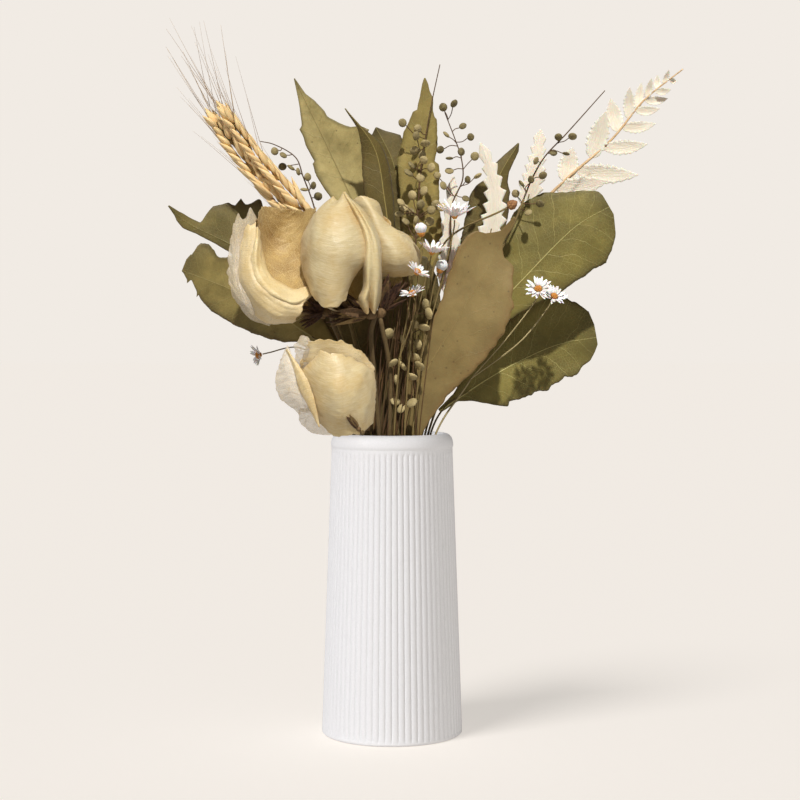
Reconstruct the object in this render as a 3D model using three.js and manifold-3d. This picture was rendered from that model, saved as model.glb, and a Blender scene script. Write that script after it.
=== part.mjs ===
// A dried flower arrangement in a ribbed white ceramic vase: large olive leaves, four papery husk
// blooms, two bearded wheat ears, sprays of round seed pods, small white everlasting daisies,
// three bleached leaves and a bleached fern frond. Every stem stands on the vase's floor and leans out through its neck.
// Millimetres, +Z up, +X to the right and -Y towards a viewer in front.
// The origin is the middle of the vase's flat base.
import * as THREE from "three";
import { mergeVertices } from "three/addons/utils/BufferGeometryUtils.js";
import Module from "manifold-3d";

const wasm = await Module();
wasm.setup();

// ---- Driving dimensions ----
const VASE_HEIGHT = 200;
const BASE_RADIUS = 47; // over the ribs, at the table
const SHOULDER_RADIUS = 40.3; // over the ribs, under the rim
const RIM_RADIUS = 40.8;
const MOUTH_RADIUS = 32;
const SHOULDER_HEIGHT = 191; // where the ribs stop and the smooth rim starts
const FLOOR_HEIGHT = 7; // top of the vase's floor
const RIB_COUNT = 68;
const RIB_DEPTH = 0.9;
const NECK_HEIGHT = 190; // height at which each stem's place in the neck is given
const FOOT_SPREAD = 1.15; // how much further apart the stems stand on the floor than in the neck
const FOOT_HEIGHT = FLOOR_HEIGHT + 0.6;
const LEAF_THICKNESS = 0.8;
const PETAL_THICKNESS = 0.8;
const GAP = 0.3; // between pieces that touch

const COLOURS = {
  ceramic: [0xe9e8e6, 0.55],
  olive: [0x6f6d3c, 0.75],
  tan: [0x8d7b50, 0.75],
  dark: [0x45431f, 0.8],
  bleached: [0xe6dcc4, 0.8],
  straw: [0xcda66a, 0.7],
  husk: [0xdcc696, 0.6],
  calyx: [0x4a3028, 0.85],
  pod: [0x716c44, 0.75],
  stalk: [0x7c7345, 0.8],
  white: [0xf0ebe2, 0.7],
  disc: [0xc2813a, 0.8],
};

// ---- Small helpers ----
const vector = (p) => (p.isVector3 ? p.clone() : new THREE.Vector3(...p));
const smooth = (points) => new THREE.CatmullRomCurve3(points.map(vector), false, "centripetal");

// A seeded random number from 0 to 1, so that every build is the same.
function seeded(seed) {
  let state = seed;
  return () => {
    state = (state * 16807) % 2147483647;
    return state / 2147483647;
  };
}

// A closed geometry as a solid that can be joined and cut.
function solidOf(geometry) {
  const loose = geometry.index ? geometry.toNonIndexed() : geometry.clone();
  loose.deleteAttribute("normal");
  loose.deleteAttribute("uv");
  const merged = mergeVertices(loose, 1e-4);
  const vertProperties = merged.attributes.position.array;
  const triVerts = new Uint32Array(merged.index.array);
  return new wasm.Manifold(new wasm.Mesh({ numProp: 3, vertProperties, triVerts }));
}

function fuse(solids) {
  return solids.reduce((whole, next) => whole.add(next));
}

// Crossing surfaces can leave a sealed speck of air or a loose scrap. Only the body itself stays.
function wholeBody(solid) {
  const parts = solid.decompose();
  return parts.reduce((largest, part) => (part.volume() > largest.volume() ? part : largest));
}

const group = new THREE.Group();

// Adds one named piece to the arrangement, in one of the colours above.
function addPiece(name, solid, colour) {
  const mesh = wholeBody(solid.simplify(0.12)).getMesh();
  const geometry = new THREE.BufferGeometry();
  geometry.setAttribute("position", new THREE.BufferAttribute(new Float32Array(mesh.vertProperties), 3));
  geometry.setIndex(new THREE.BufferAttribute(new Uint32Array(mesh.triVerts), 1));
  geometry.computeVertexNormals();
  const [color, roughness] = COLOURS[colour];
  const piece = new THREE.Mesh(geometry, new THREE.MeshStandardMaterial({ color, roughness }));
  piece.name = name;
  group.add(piece);
}

// A round stem along a smooth curve through the points.
function stem(points, radius, steps = 7, sides = 4) {
  const corners = Array.from({ length: sides }, (_, i) => {
    const angle = (2 * Math.PI * i) / sides;
    return new THREE.Vector2(radius * Math.cos(angle), radius * Math.sin(angle));
  });
  const extrudePath = smooth(points);
  const section = new THREE.Shape(corners);
  return solidOf(new THREE.ExtrudeGeometry(section, { steps, extrudePath, bevelEnabled: false }));
}

// A stem's foot on the vase's floor and its place in the neck.
function throughNeck([x, y]) {
  const foot = [x * FOOT_SPREAD, y * FOOT_SPREAD, FOOT_HEIGHT];
  return [foot, [x, y, NECK_HEIGHT]];
}

// Turns a solid made along +Z so that it runs along a direction, and moves it to a place.
function aimed(geometry, place, direction, spin = 0) {
  const turn = new THREE.Quaternion().setFromUnitVectors(
    new THREE.Vector3(0, 0, 1),
    vector(direction).normalize(),
  );
  geometry.rotateZ(spin);
  geometry.applyQuaternion(turn);
  geometry.translate(...vector(place).toArray());
  return solidOf(geometry);
}

// A solid of revolution about +Z from [radius, height] pairs that start and end on the axis.
function turned(profile, segments) {
  const points = profile.map(([r, z]) => new THREE.Vector2(r, z));
  return new THREE.LatheGeometry(points, segments).rotateX(Math.PI / 2);
}

// A closed thin shell about a grid of points. Both faces are split into triangles alike.
function thinShell(grid, thickness) {
  const rows = grid.length;
  const columns = grid[0].length;
  const faces = [1, -1].map((side) =>
    grid.map((row, i) =>
      row.map((point, j) => {
        const along = grid[Math.min(i + 1, rows - 1)][j].clone().sub(grid[Math.max(i - 1, 0)][j]);
        const across = row[Math.min(j + 1, columns - 1)].clone().sub(row[Math.max(j - 1, 0)]);
        const normal = across.cross(along).normalize();
        return point.clone().addScaledVector(normal, (side * thickness) / 2);
      }),
    ),
  );
  const corners = [];
  const triangle = (...points) => points.forEach((p) => corners.push(p.x, p.y, p.z));
  const [front, back] = faces;
  for (let i = 0; i + 1 < rows; i++) {
    for (let j = 0; j + 1 < columns; j++) {
      triangle(front[i][j], front[i][j + 1], front[i + 1][j + 1]);
      triangle(front[i][j], front[i + 1][j + 1], front[i + 1][j]);
      triangle(back[i][j], back[i + 1][j + 1], back[i][j + 1]);
      triangle(back[i][j], back[i + 1][j], back[i + 1][j + 1]);
    }
  }
  const rim = [];
  for (let j = 0; j < columns - 1; j++) rim.push([0, j]);
  for (let i = 0; i < rows - 1; i++) rim.push([i, columns - 1]);
  for (let j = columns - 1; j > 0; j--) rim.push([rows - 1, j]);
  for (let i = rows - 1; i > 0; i--) rim.push([i, 0]);
  rim.forEach(([i, j], k) => {
    const [ni, nj] = rim[(k + 1) % rim.length];
    triangle(front[ni][nj], front[i][j], back[i][j]);
    triangle(front[ni][nj], back[i][j], back[ni][nj]);
  });
  const geometry = new THREE.BufferGeometry();
  geometry.setAttribute("position", new THREE.Float32BufferAttribute(corners, 3));
  return solidOf(geometry);
}

// ---- Vase ----
// Every third point round the outside lies in a groove, so that flat-topped ribs stand between.
function ribbedBody() {
  const pointsPerRib = 3;
  const profile = [
    [0, 0],
    [BASE_RADIUS, 0],
    [SHOULDER_RADIUS, SHOULDER_HEIGHT],
    [0, SHOULDER_HEIGHT],
  ];
  const geometry = turned(profile, RIB_COUNT * pointsPerRib);
  const position = geometry.attributes.position;
  const ribAngle = (2 * Math.PI) / RIB_COUNT;
  for (let i = 0; i < position.count; i++) {
    const radius = Math.hypot(position.getX(i), position.getY(i));
    if (radius < 1) continue;
    const turns = Math.atan2(position.getY(i), position.getX(i)) / ribAngle + RIB_COUNT;
    const inGroove = Math.round(turns * pointsPerRib) % pointsPerRib === 0;
    const scale = inGroove ? (radius - RIB_DEPTH) / radius : 1;
    position.setX(i, position.getX(i) * scale);
    position.setY(i, position.getY(i) * scale);
  }
  return solidOf(geometry);
}

function vase() {
  const segments = 28;
  const rim = turned(
    [
      [0, SHOULDER_HEIGHT - 2],
      [RIM_RADIUS, SHOULDER_HEIGHT - 2],
      [RIM_RADIUS, SHOULDER_HEIGHT + 2.5],
      [RIM_RADIUS - 1.2, VASE_HEIGHT - 2.8],
      [RIM_RADIUS - 3.4, VASE_HEIGHT - 0.6],
      [RIM_RADIUS - 5.5, VASE_HEIGHT],
      [0, VASE_HEIGHT],
    ],
    segments,
  );
  const hollow = turned(
    [
      [0, FLOOR_HEIGHT],
      [BASE_RADIUS - 6.5, FLOOR_HEIGHT],
      [SHOULDER_RADIUS - 6, SHOULDER_HEIGHT - 8],
      [MOUTH_RADIUS, SHOULDER_HEIGHT + 2],
      [MOUTH_RADIUS + 0.6, VASE_HEIGHT - 2],
      [MOUTH_RADIUS + 2.4, VASE_HEIGHT + 0.2],
      [0, VASE_HEIGHT + 0.2],
    ],
    segments,
  );
  return ribbedBody().add(solidOf(rim)).subtract(solidOf(hollow));
}

addPiece("vase", vase(), "ceramic");

// ---- Large leaves ----
// rib: points of the midrib from base to tip. outline: [share of the length, width left of the
// rib, width right of it], seen from the side that the blade faces. fold: degrees that the left
// and right halves bend back from the blade's plane. cup: how far the edges curl forward.
// centre: the point that a petal faces and curls round, in place of a fixed direction.
function blade({ rib, outline, facing = [0, -1, 0], centre, fold = [0, 0], cup = 0, halves = 2 }) {
  const curve = smooth(rib);
  const widest = Math.max(...outline.flatMap(([, left, right]) => [left, right]));
  const grid = outline.map(([share, left, right]) => {
    const middle = curve.getPointAt(share);
    const front = centre ? vector(centre).sub(middle) : vector(facing);
    const across = curve.getTangentAt(share).cross(front).normalize();
    const out = across.clone().cross(curve.getTangentAt(share)).normalize();
    const curlRadius = 0.9 * front.length();
    return Array.from({ length: 2 * halves + 1 }, (_, j) => {
      const side = j < halves ? -1 : 1;
      const offset = (Math.abs(j - halves) / halves) * (side < 0 ? left : right);
      const bend = THREE.MathUtils.degToRad(fold[side < 0 ? 0 : 1]);
      const flat = offset * Math.cos(bend);
      const sag = cup * (offset / widest) ** 2 - offset * Math.sin(bend);
      const reach = centre ? curlRadius * Math.sin(offset / curlRadius) : flat;
      const lift = centre ? curlRadius * (1 - Math.cos(offset / curlRadius)) : sag;
      return middle
        .clone()
        .addScaledVector(across, side * reach)
        .addScaledVector(out, lift);
    });
  });
  return thinShell(grid, centre ? PETAL_THICKNESS : LEAF_THICKNESS);
}

// A leaf with its stalk, which runs from the vase's floor into the root of the blade.
function leaf({ name, colour, neck, via = [], radius = 1.2, ...shape }) {
  const curve = smooth(shape.rib);
  const root = curve.getPointAt(0.03);
  const sunk = curve.getPointAt(0.13);
  const stalk = stem([...throughNeck(neck), ...via, root, sunk], radius);
  addPiece(name, fuse([blade(shape), stalk]), colour);
}

const LEAVES = [
  {
    name: "leaf_upper_left",
    colour: "olive",
    neck: [-10, 19],
    rib: [[-9, 24, 315], [-32, 30, 368], [-67, 36, 441]],
    outline: [
      [0, 1.5, 1.5], [0.08, 4, 9], [0.19, 8.5, 15], [0.3, 10.5, 18], [0.42, 13, 21],
      [0.5, 16.5, 23.5], [0.57, 15.5, 32], [0.6, 11.7, 32], [0.65, 13.7, 21], [0.71, 13.5, 13.5],
      [0.76, 11, 8.8], [0.84, 7.6, 6], [0.91, 5, 2.8], [1, 0.5, 0.5],
    ],
    cup: 4,
  },
  {
    name: "leaf_folded_front",
    colour: "olive",
    neck: [-6, 4],
    rib: [[0, 0, 314], [-5, 2, 356], [-13, 4, 390], [-31, -4, 415]],
    outline: [
      [0, 1.2, 1.2], [0.1, 6, 5], [0.25, 11.8, 9], [0.43, 13.2, 12], [0.6, 12, 12],
      [0.74, 8.3, 10], [0.84, 5, 6], [0.9, 2.8, 3], [1, 0.5, 0.5],
    ],
    fold: [8, 58],
    halves: 1,
  },
  {
    name: "leaf_folded_back",
    colour: "dark",
    neck: [-2, 13],
    rib: [[8, 19, 315], [5, 21, 360], [0, 22, 384], [-11, 23, 406]],
    outline: [
      [0, 1.2, 1.2], [0.16, 4, 4], [0.35, 6.5, 6.5], [0.55, 8.5, 8.5], [0.75, 10, 11],
      [0.87, 9, 12.5], [0.95, 7, 4.5], [1, 0.5, 0.5],
    ],
    fold: [10, 10],
    halves: 1,
  },
  {
    name: "leaf_upper_middle",
    colour: "olive",
    neck: [4, 6],
    rib: [[13, 9, 310], [16, 12, 356], [19, 13, 397], [22, 15, 438]],
    outline: [
      [0, 5, 7], [0.08, 7, 14], [0.2, 8, 15.5], [0.33, 9.6, 15], [0.45, 13.4, 15],
      [0.55, 13.7, 13], [0.6, 13.4, 11.2], [0.69, 12.7, 12.1], [0.72, 9.5, 11.8],
      [0.79, 7.5, 10.8], [0.83, 5, 7.3], [0.9, 2.2, 6.7], [0.95, 1.5, 3.7], [1, 0.5, 0.5],
    ],
    fold: [6, 6],
    halves: 1,
  },
  {
    name: "leaf_lobed_right",
    colour: "dark",
    neck: [14, 14],
    rib: [[65, 20, 311], [68, 24, 344], [72, 26, 371], [86, 28, 396]],
    outline: [
      [0, 4, 3], [0.08, 16, 5], [0.18, 21, 8], [0.3, 19.5, 10], [0.44, 18.5, 11],
      [0.53, 17.5, 10.8], [0.61, 14, 10.6], [0.69, 5.5, 7], [0.78, 6.6, 5], [0.88, 4, 3.8], [0.95, 2, 3],
      [1, 0.5, 0.5],
    ],
    fold: [16, 16],
    halves: 1,
  },
  {
    name: "leaf_round_right",
    colour: "olive",
    neck: [22, 7],
    rib: [[58, 5, 272], [83, 4, 298], [123, 4, 338], [145, 5, 351]],
    outline: [
      [0, 1.5, 1.5], [0.06, 5, 8.5], [0.16, 12, 13], [0.3, 23.7, 17], [0.49, 30.6, 24.3],
      [0.6, 34.5, 29], [0.66, 36, 30.3], [0.78, 29.5, 31.3], [0.84, 25, 30], [0.9, 18, 28],
      [0.96, 13.5, 20.2], [1, 6, 6],
    ],
    cup: -4,
  },
  {
    name: "leaf_wavy_right",
    colour: "olive",
    neck: [24, 14],
    rib: [[32, 18, 214], [73, 28, 240], [114, 33, 259], [141, 31, 264]],
    outline: [
      [0, 1.5, 1.5], [0.08, 4.5, 1.5], [0.2, 10, 4], [0.29, 14.3, 14.5], [0.36, 17, 23.6],
      [0.44, 19.5, 24.2], [0.51, 24, 26.2], [0.61, 29.5, 27.8], [0.72, 33, 24.7], [0.8, 34, 24],
      [0.87, 34, 22], [0.91, 25, 15.5], [0.96, 19.5, 11], [1, 4, 4],
    ],
    cup: 4,
  },
  {
    name: "leaf_broad_front",
    colour: "tan",
    neck: [11, -9],
    rib: [[11, -9, 188], [21, -14, 237], [41, -18, 272], [58, -17, 301], [73, -11, 326], [81, -5, 344]],
    outline: [
      [0, 3, 4], [0.09, 4, 7.5], [0.15, 8.5, 11.5], [0.22, 7.7, 17], [0.3, 9.5, 21.5],
      [0.38, 12, 25.5], [0.5, 14, 29.3], [0.62, 16.5, 30.4], [0.66, 18, 28.5], [0.73, 21, 25],
      [0.8, 22, 18.3], [0.86, 20.5, 8.5], [0.9, 14, 3], [0.95, 3, 2.7], [1, 0.6, 0.6],
    ],
    cup: 3,
  },
  {
    name: "leaf_left_upper",
    colour: "olive",
    neck: [-25, 6],
    rib: [[-51, 14, 289], [-87, 16, 315], [-118, 16, 331], [-138, 14, 341], [-150, 10, 352]],
    outline: [
      [0, 1.5, 1.5], [0.17, 8, 14], [0.35, 9.3, 24.5], [0.45, 7.5, 31], [0.51, 6, 33],
      [0.54, 5.4, 36], [0.57, 5, 31], [0.62, 4.2, 32], [0.66, 3.8, 26], [0.72, 3.6, 21.5],
      [0.76, 4.2, 13.5], [0.78, 4.5, 4.3], [0.86, 5.7, 3.9], [0.93, 4.2, 2.5], [1, 0.5, 0.5],
    ],
    halves: 1,
    fold: [0, 8],
  },
  {
    name: "leaf_left_lower",
    colour: "olive",
    neck: [-24, -4],
    rib: [[-34, 2, 250], [-68, 4, 274], [-104, 2, 294], [-139, -6, 308]],
    outline: [
      [0, 1.5, 1.5], [0.1, 7.5, 8], [0.21, 9, 15], [0.33, 14.5, 19], [0.46, 20.5, 22],
      [0.6, 22, 23.5], [0.71, 21.7, 23], [0.79, 18.5, 20.5], [0.85, 15.5, 18.5], [0.9, 10, 22.5],
      [0.93, 8.6, 22], [0.96, 4.4, 19], [1, 0.5, 6],
    ],
    halves: 1,
    fold: [6, 6],
  },
  {
    name: "leaf_shaded_left",
    colour: "dark",
    neck: [-12, 10],
    rib: [[-10, 7, 204], [-20, 7, 250], [-35, 7, 305]],
    outline: [
      [0, 1.5, 1.5], [0.15, 6, 6], [0.35, 13, 13], [0.55, 17, 17], [0.75, 19, 18], [0.9, 14, 14],
      [1, 3, 3],
    ],
    halves: 1,
  },
  {
    name: "leaf_shaded_middle",
    colour: "dark",
    neck: [3, -1],
    rib: [[5, -1, 205], [8, -1, 250], [16, -0.5, 302]],
    outline: [
      [0, 3, 1.5], [0.2, 11, 7], [0.45, 16, 12], [0.7, 17, 15], [0.88, 14, 14], [1, 6, 8],
    ],
    halves: 1,
  },
];

LEAVES.forEach(leaf);

// ---- Bleached leaves with cut edges ----
// The outline steps in and out once for each tooth, and narrows towards the tip.
function toothed(teeth, width, waist = 0.5) {
  const rows = [[0, 1.2, 1.2]];
  for (let i = 0; i < teeth; i++) {
    const share = 0.1 + (0.82 * i) / teeth;
    const reach = width * (1 - 0.65 * (i / teeth) ** 1.5);
    rows.push([share, reach * waist, reach * waist]);
    rows.push([share + 0.62 / teeth, reach, reach]);
  }
  rows.push([1, 0.5, 0.5]);
  return rows;
}

const BLEACHED_LEAVES = [
  {
    name: "bleached_leaf_middle",
    neck: [15, 4],
    rib: [[63, 6, 322], [69, 8, 352], [66, 9, 376], [59, 9, 394]],
    outline: toothed(5, 9),
  },
  {
    name: "bleached_leaf_narrow",
    neck: [10, 8.5],
    rib: [[36.5, 6, 297], [38.2, 6, 319], [38.9, 7, 339], [41, 9, 372]],
    outline: toothed(5, 7.5, 0.75),
  },
  {
    name: "bleached_leaf_right",
    neck: [18, 12],
    rib: [[90, 22, 350], [97, 24, 378], [101, 26, 405]],
    outline: toothed(5, 9.5, 0.65),
  },
];

BLEACHED_LEAVES.forEach((shape) => leaf({ ...shape, colour: "bleached", fold: [6, 6], halves: 1 }));

// ---- Bleached fern frond ----
// leaflets: [x and z of the root, x and z of the tip, width].
function leaflet(root, tip, width) {
  const facing = new THREE.Vector3(0, -1, 0);
  const direction = tip.clone().sub(root);
  const across = direction.clone().cross(facing).normalize();
  const rows = [0, 0.45, 1];
  const widths = [0.2, 1, 0.12];
  const grid = rows.map((share, i) =>
    [-1, 1].map((u) =>
      root
        .clone()
        .addScaledVector(direction, share)
        .addScaledVector(across, (u * widths[i] * width) / 2),
    ),
  );
  return thinShell(grid, LEAF_THICKNESS);
}

function frond({ name, neck, via, rachis, leaflets }) {
  const steps = 6;
  const nodes = smooth(rachis).getSpacedPoints(steps);
  const solids = [
    stem([...throughNeck(neck), ...via, rachis[0], nodes[1]], 1.2),
    stem(rachis, 0.9, steps),
  ];
  leaflets.forEach(([rootX, rootZ, tipX, tipZ, width], i) => {
    const aim = new THREE.Vector3(rootX, rachis[0][1], rootZ);
    const nearest = nodes.slice(1).map((node, k) => {
      const line = new THREE.Line3(nodes[k], node);
      return line.closestPointToPoint(aim, true, new THREE.Vector3());
    });
    nearest.sort((a, b) => a.distanceTo(aim) - b.distanceTo(aim));
    const tip = new THREE.Vector3(tipX, nearest[0].y + (i % 2 ? 2.5 : -2.5), tipZ);
    solids.push(leaflet(nearest[0], tip, width));
  });
  addPiece(name, fuse(solids), "bleached");
}

frond({
  name: "fern_frond_right",
  neck: [15, 21],
  via: [[45, 30, 275]],
  rachis: [[92, 34, 346], [118.5, 36, 371.7], [150.8, 38, 400], [173, 39, 426.8], [199.5, 39, 448]],
  leaflets: [
    [113, 363.5, 147.4, 371.1, 9], [126.7, 376.6, 169.4, 375.5, 9],
    [146.3, 393.1, 174.9, 396.2, 7.5], [157.7, 408.2, 181.5, 411, 5.5],
    [166, 419.3, 183.2, 420.6, 4], [172.9, 426.2, 189.4, 428.2, 3.5],
    [179.8, 433.7, 190.8, 433.7, 3.5], [117.1, 371.7, 124, 394.5, 10],
    [136.4, 386.2, 146.3, 418.6, 10], [153.6, 405.5, 150.1, 428.2, 7.5],
    [160.5, 414.4, 162.5, 435.1, 5.5], [168.7, 421.3, 171.5, 439.2, 4],
    [174.2, 428.2, 177.7, 441.3, 3.5], [179.8, 435.1, 182.5, 444.5, 3.5],
  ],
});

// ---- Wheat ears ----
// A grain husk: a four-sided spindle.
function grain(root, direction, length, radius, spin) {
  return aimed(turned([[0, 0], [radius, 0.4 * length], [0, length]], 4), root, direction, spin);
}

function wheatEar({ name, neck, ear, seed }) {
  const random = seeded(seed);
  const levels = 7;
  const curve = smooth(ear);
  const solids = [
    stem([...throughNeck(neck), ear[0], curve.getPointAt(0.05)], 1.2),
    stem(ear, 1.6, 4),
  ];
  for (let level = 0; level < levels; level++) {
    const share = 0.02 + (0.84 * level) / levels;
    const along = curve.getTangentAt(share);
    const side = along.clone().cross(new THREE.Vector3(0, -1, 0)).normalize();
    const front = side.clone().cross(along).normalize();
    const size = 18 - 3 * (level / levels);
    [
      [side, 0.28], [side, -0.28], [front, level % 2 ? 0.22 : -0.22],
    ].forEach(([out, lean]) => {
      const direction = along.clone().addScaledVector(out, lean);
      const root = curve.getPointAt(share).addScaledVector(out, Math.sign(lean) * 0.8);
      solids.push(grain(root, direction, size, 2.9, random() * 2));
    });
    if (level < 2) continue;
    const sway = (random() - 0.5) * 0.3;
    const beard = along.clone().addScaledVector(side, sway + 0.24);
    const beardLength = 66 + random() * 17;
    const root = curve.getPointAt(share + 0.1).addScaledVector(side, sway * 4);
    const awn = new THREE.ConeGeometry(0.45, beardLength, 3).rotateX(Math.PI / 2);
    awn.translate(0, 0, beardLength / 2);
    solids.push(aimed(awn, root, beard));
  }
  solids.push(grain(curve.getPointAt(0.88), curve.getTangentAt(1), 15, 3.4, 0));
  addPiece(name, fuse(solids), "straw");
}

const EAR_FOOT = [-57, 0, 341];
const EAR_TIP = [-117, -6, 415];
[
  ["wheat_ear_left", [-18, -6], [-5.2, 0, -3.4], 3],
  ["wheat_ear_right", [-11, -9], [5.2, -3.6, 3.2], 7],
].forEach(([name, neck, [dx, dy, dz], seed]) => {
  const ear = [EAR_FOOT, EAR_TIP].map(([x, y, z]) => [x + dx, y + dy, z + dz]);
  ear.splice(1, 0, [-90 + dx, -2 + dy, 379 + dz]);
  wheatEar({ name, neck, ear, seed });
});

// ---- Papery husk blooms ----
// Each petal has its own midrib from the root and curls round the bloom's centre.
const PETAL_OUTLINES = {
  full: [
    [0, 3, 3], [0.16, 11, 11], [0.36, 19, 19], [0.58, 23, 23], [0.78, 19, 19], [0.92, 10, 10],
    [1, 1, 1],
  ],
  blunt: [
    [0, 3, 3], [0.2, 11, 11], [0.45, 19, 19], [0.7, 22, 22], [0.88, 20, 20], [0.95, 14, 18],
    [1, 5, 12],
  ],
  narrow: [[0, 2.5, 2.5], [0.2, 9, 9], [0.45, 15, 15], [0.7, 15, 15], [0.88, 9, 9], [1, 1, 1]],
};

const HUSKS = [
  {
    name: "husk_left",
    neck: [-14.5, -24],
    root: [-52, -27, 281.5],
    axis: [-0.55, -0.4, 0.6],
    via: [[-23.5, -25, 238]],
    centre: [-76, -44, 308],
    petals: [
      ["full", [[-72, -37, 271.5], [-92, -42, 278], [-101, -44, 297], [-101, -46, 318], [-94, -48, 338]]],
      ["blunt", [[-61, -42, 271.5], [-72, -58, 276], [-78, -63, 289]]],
      ["blunt", [[-58, -22, 296], [-66, -24, 320], [-68, -30, 348]]],
      ["full", [[-66, -18, 287], [-84, -18, 306], [-91, -26, 330], [-88, -32, 340]]],
    ],
  },
  {
    name: "husk_front",
    neck: [-8, -26],
    root: [-23, -48, 281],
    axis: [-0.25, -0.1, 1],
    via: [[-7.5, -36, 240]],
    centre: [-32, -54, 316],
    petals: [
      ["full", [[-27, -68, 280], [-34, -79, 294], [-37, -82, 316], [-35, -74, 338], [-31, -60, 352]]],
      ["full", [[-35, -50, 278], [-51, -53, 288], [-58, -54, 308], [-55, -54, 332], [-40, -54, 350]]],
      ["full", [[-12, -54, 287], [-8, -57, 302], [-8, -58, 318], [-15, -58, 338], [-29, -56, 355]]],
      ["narrow", [[-24, -36, 290], [-30, -30, 312], [-33, -32, 336], [-34, -42, 350]]],
    ],
  },
  {
    name: "husk_middle",
    neck: [-2, -20],
    root: [0, -25, 291],
    axis: [0, -0.05, 1],
    via: [[-1, -24, 240]],
    centre: [-2, -21, 322],
    petals: [
      ["narrow", [[12, -23, 296], [19.5, -21, 312], [15, -22, 331], [2, -23, 347], [-10, -25, 353]]],
      ["full", [[6, -36, 296], [6, -40, 313], [-1, -38, 332], [-13, -30, 353]]],
      ["narrow", [[-9, -22, 300], [-16, -21, 318], [-17, -22, 338], [-16, -25, 353]]],
      ["narrow", [[6, -9, 302], [7, -6, 318], [2, -9, 336], [-6, -17, 349]]],
    ],
  },
  {
    name: "husk_low",
    neck: [-17, -17],
    root: [-25, -30, 212],
    axis: [-0.6, -0.4, 0.7],
    via: [[-17, -18, 203]],
    centre: [-44, -43, 234],
    petals: [
      ["full", [[-43, -43, 203], [-59, -44, 208], [-70, -44, 222], [-73, -44, 240], [-66, -44, 260]]],
      ["full", [[-35, -52, 206], [-43, -65, 217], [-46, -69, 234], [-42, -63, 252], [-35, -54, 263]]],
      ["full", [[-17, -46, 220], [-14, -54, 236], [-18, -56, 252], [-30, -52, 265]]],
      ["full", [[-36, -24, 224], [-46, -20, 240], [-54, -26, 264]]],
    ],
  },
];

// A ring of bristles round the cup under the petals, on top of the bloom's stalk.
function husk({ name, neck, root, axis, via, centre, petals }) {
  const along = vector(axis).normalize();
  const start = vector(root).addScaledVector(along, 2.5);
  const core = turned([[0, 0.8], [3.6, 0.8], [4.2, 4], [0, 6]], 6);
  const shells = petals.map(([kind, rib]) => {
    const halves = kind === "narrow" ? 1 : 2;
    return blade({ rib: [start.toArray(), ...rib], outline: PETAL_OUTLINES[kind], centre, halves });
  });
  addPiece(`${name}_petals`, fuse([aimed(core, root, along), ...shells]), "husk");

  const cup = turned([[0, -9], [2, -8], [5.2, -2.5], [4.4, 0.8 - GAP], [0, 0.8 - GAP]], 6);
  const bristles = Array.from({ length: 8 }, (_, i) => {
    const out = new THREE.Vector3(1, 0, 0).applyAxisAngle(new THREE.Vector3(0, 0, 1), (Math.PI * i) / 4);
    out.setZ(i % 2 ? -0.45 : -0.8);
    const bristle = new THREE.ConeGeometry(1.3, 16, 3).rotateX(Math.PI / 2).translate(0, 0, 8);
    return aimed(bristle, vector(root).addScaledVector(along, -3.5), out);
  });
  const end = vector(root).addScaledVector(along, -4);
  const stalk = stem([...throughNeck(neck), ...via, end], 1.5);
  addPiece(`${name}_calyx`, fuse([aimed(cup, root, along), ...bristles, stalk]), "calyx");
}

HUSKS.forEach(husk);

// ---- Sprays of round seed pods ----
// A pod: a flat disc on a thin stalk that leaves the main stem a little below it, cut as one
// outline from a sheet that faces the viewer more or less.
const POD_RADIUS = 2.9;
const POD_THICKNESS = 0.9;
const POD_TURNS = [0, 0.6, -0.5, 1.3];
const POD_STAGGER = [0, -3, 3];

function pod(nodes, place, index, depth) {
  const centre = vector([place[0], depth + POD_STAGGER[index % POD_STAGGER.length], place[1]]);
  const reach = nodes.map((node) => node.distanceTo(centre));
  const below = Math.max(0, reach.indexOf(Math.min(...reach)) - 1);
  const from = nodes[below].clone().lerp(nodes[below + 1], 0.3 + 0.1 * (index % 5));
  const along = centre.clone().sub(from);
  const length = along.length();
  along.normalize();
  const side = along.clone().cross(new THREE.Vector3(0, -1, 0)).normalize();
  side.applyAxisAngle(along, POD_TURNS[index % POD_TURNS.length]);
  const outline = [
    [0.35, 0],
    [0.35, length - POD_RADIUS],
    [0.85 * POD_RADIUS, length - 0.5 * POD_RADIUS],
    [0.85 * POD_RADIUS, length + 0.5 * POD_RADIUS],
    [0, length + POD_RADIUS],
  ];
  const mirrored = outline.slice(0, -1).reverse().map(([x, y]) => [-x, y]);
  const shape = new THREE.Shape([...outline, ...mirrored].map(([x, y]) => new THREE.Vector2(x, y)));
  const sheet = new THREE.ExtrudeGeometry(shape, { depth: POD_THICKNESS, bevelEnabled: false });
  sheet.translate(0, 0, -POD_THICKNESS / 2);
  const turn = new THREE.Matrix4().makeBasis(side, along, side.clone().cross(along));
  sheet.applyMatrix4(turn.setPosition(from));
  return solidOf(sheet);
}

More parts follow.
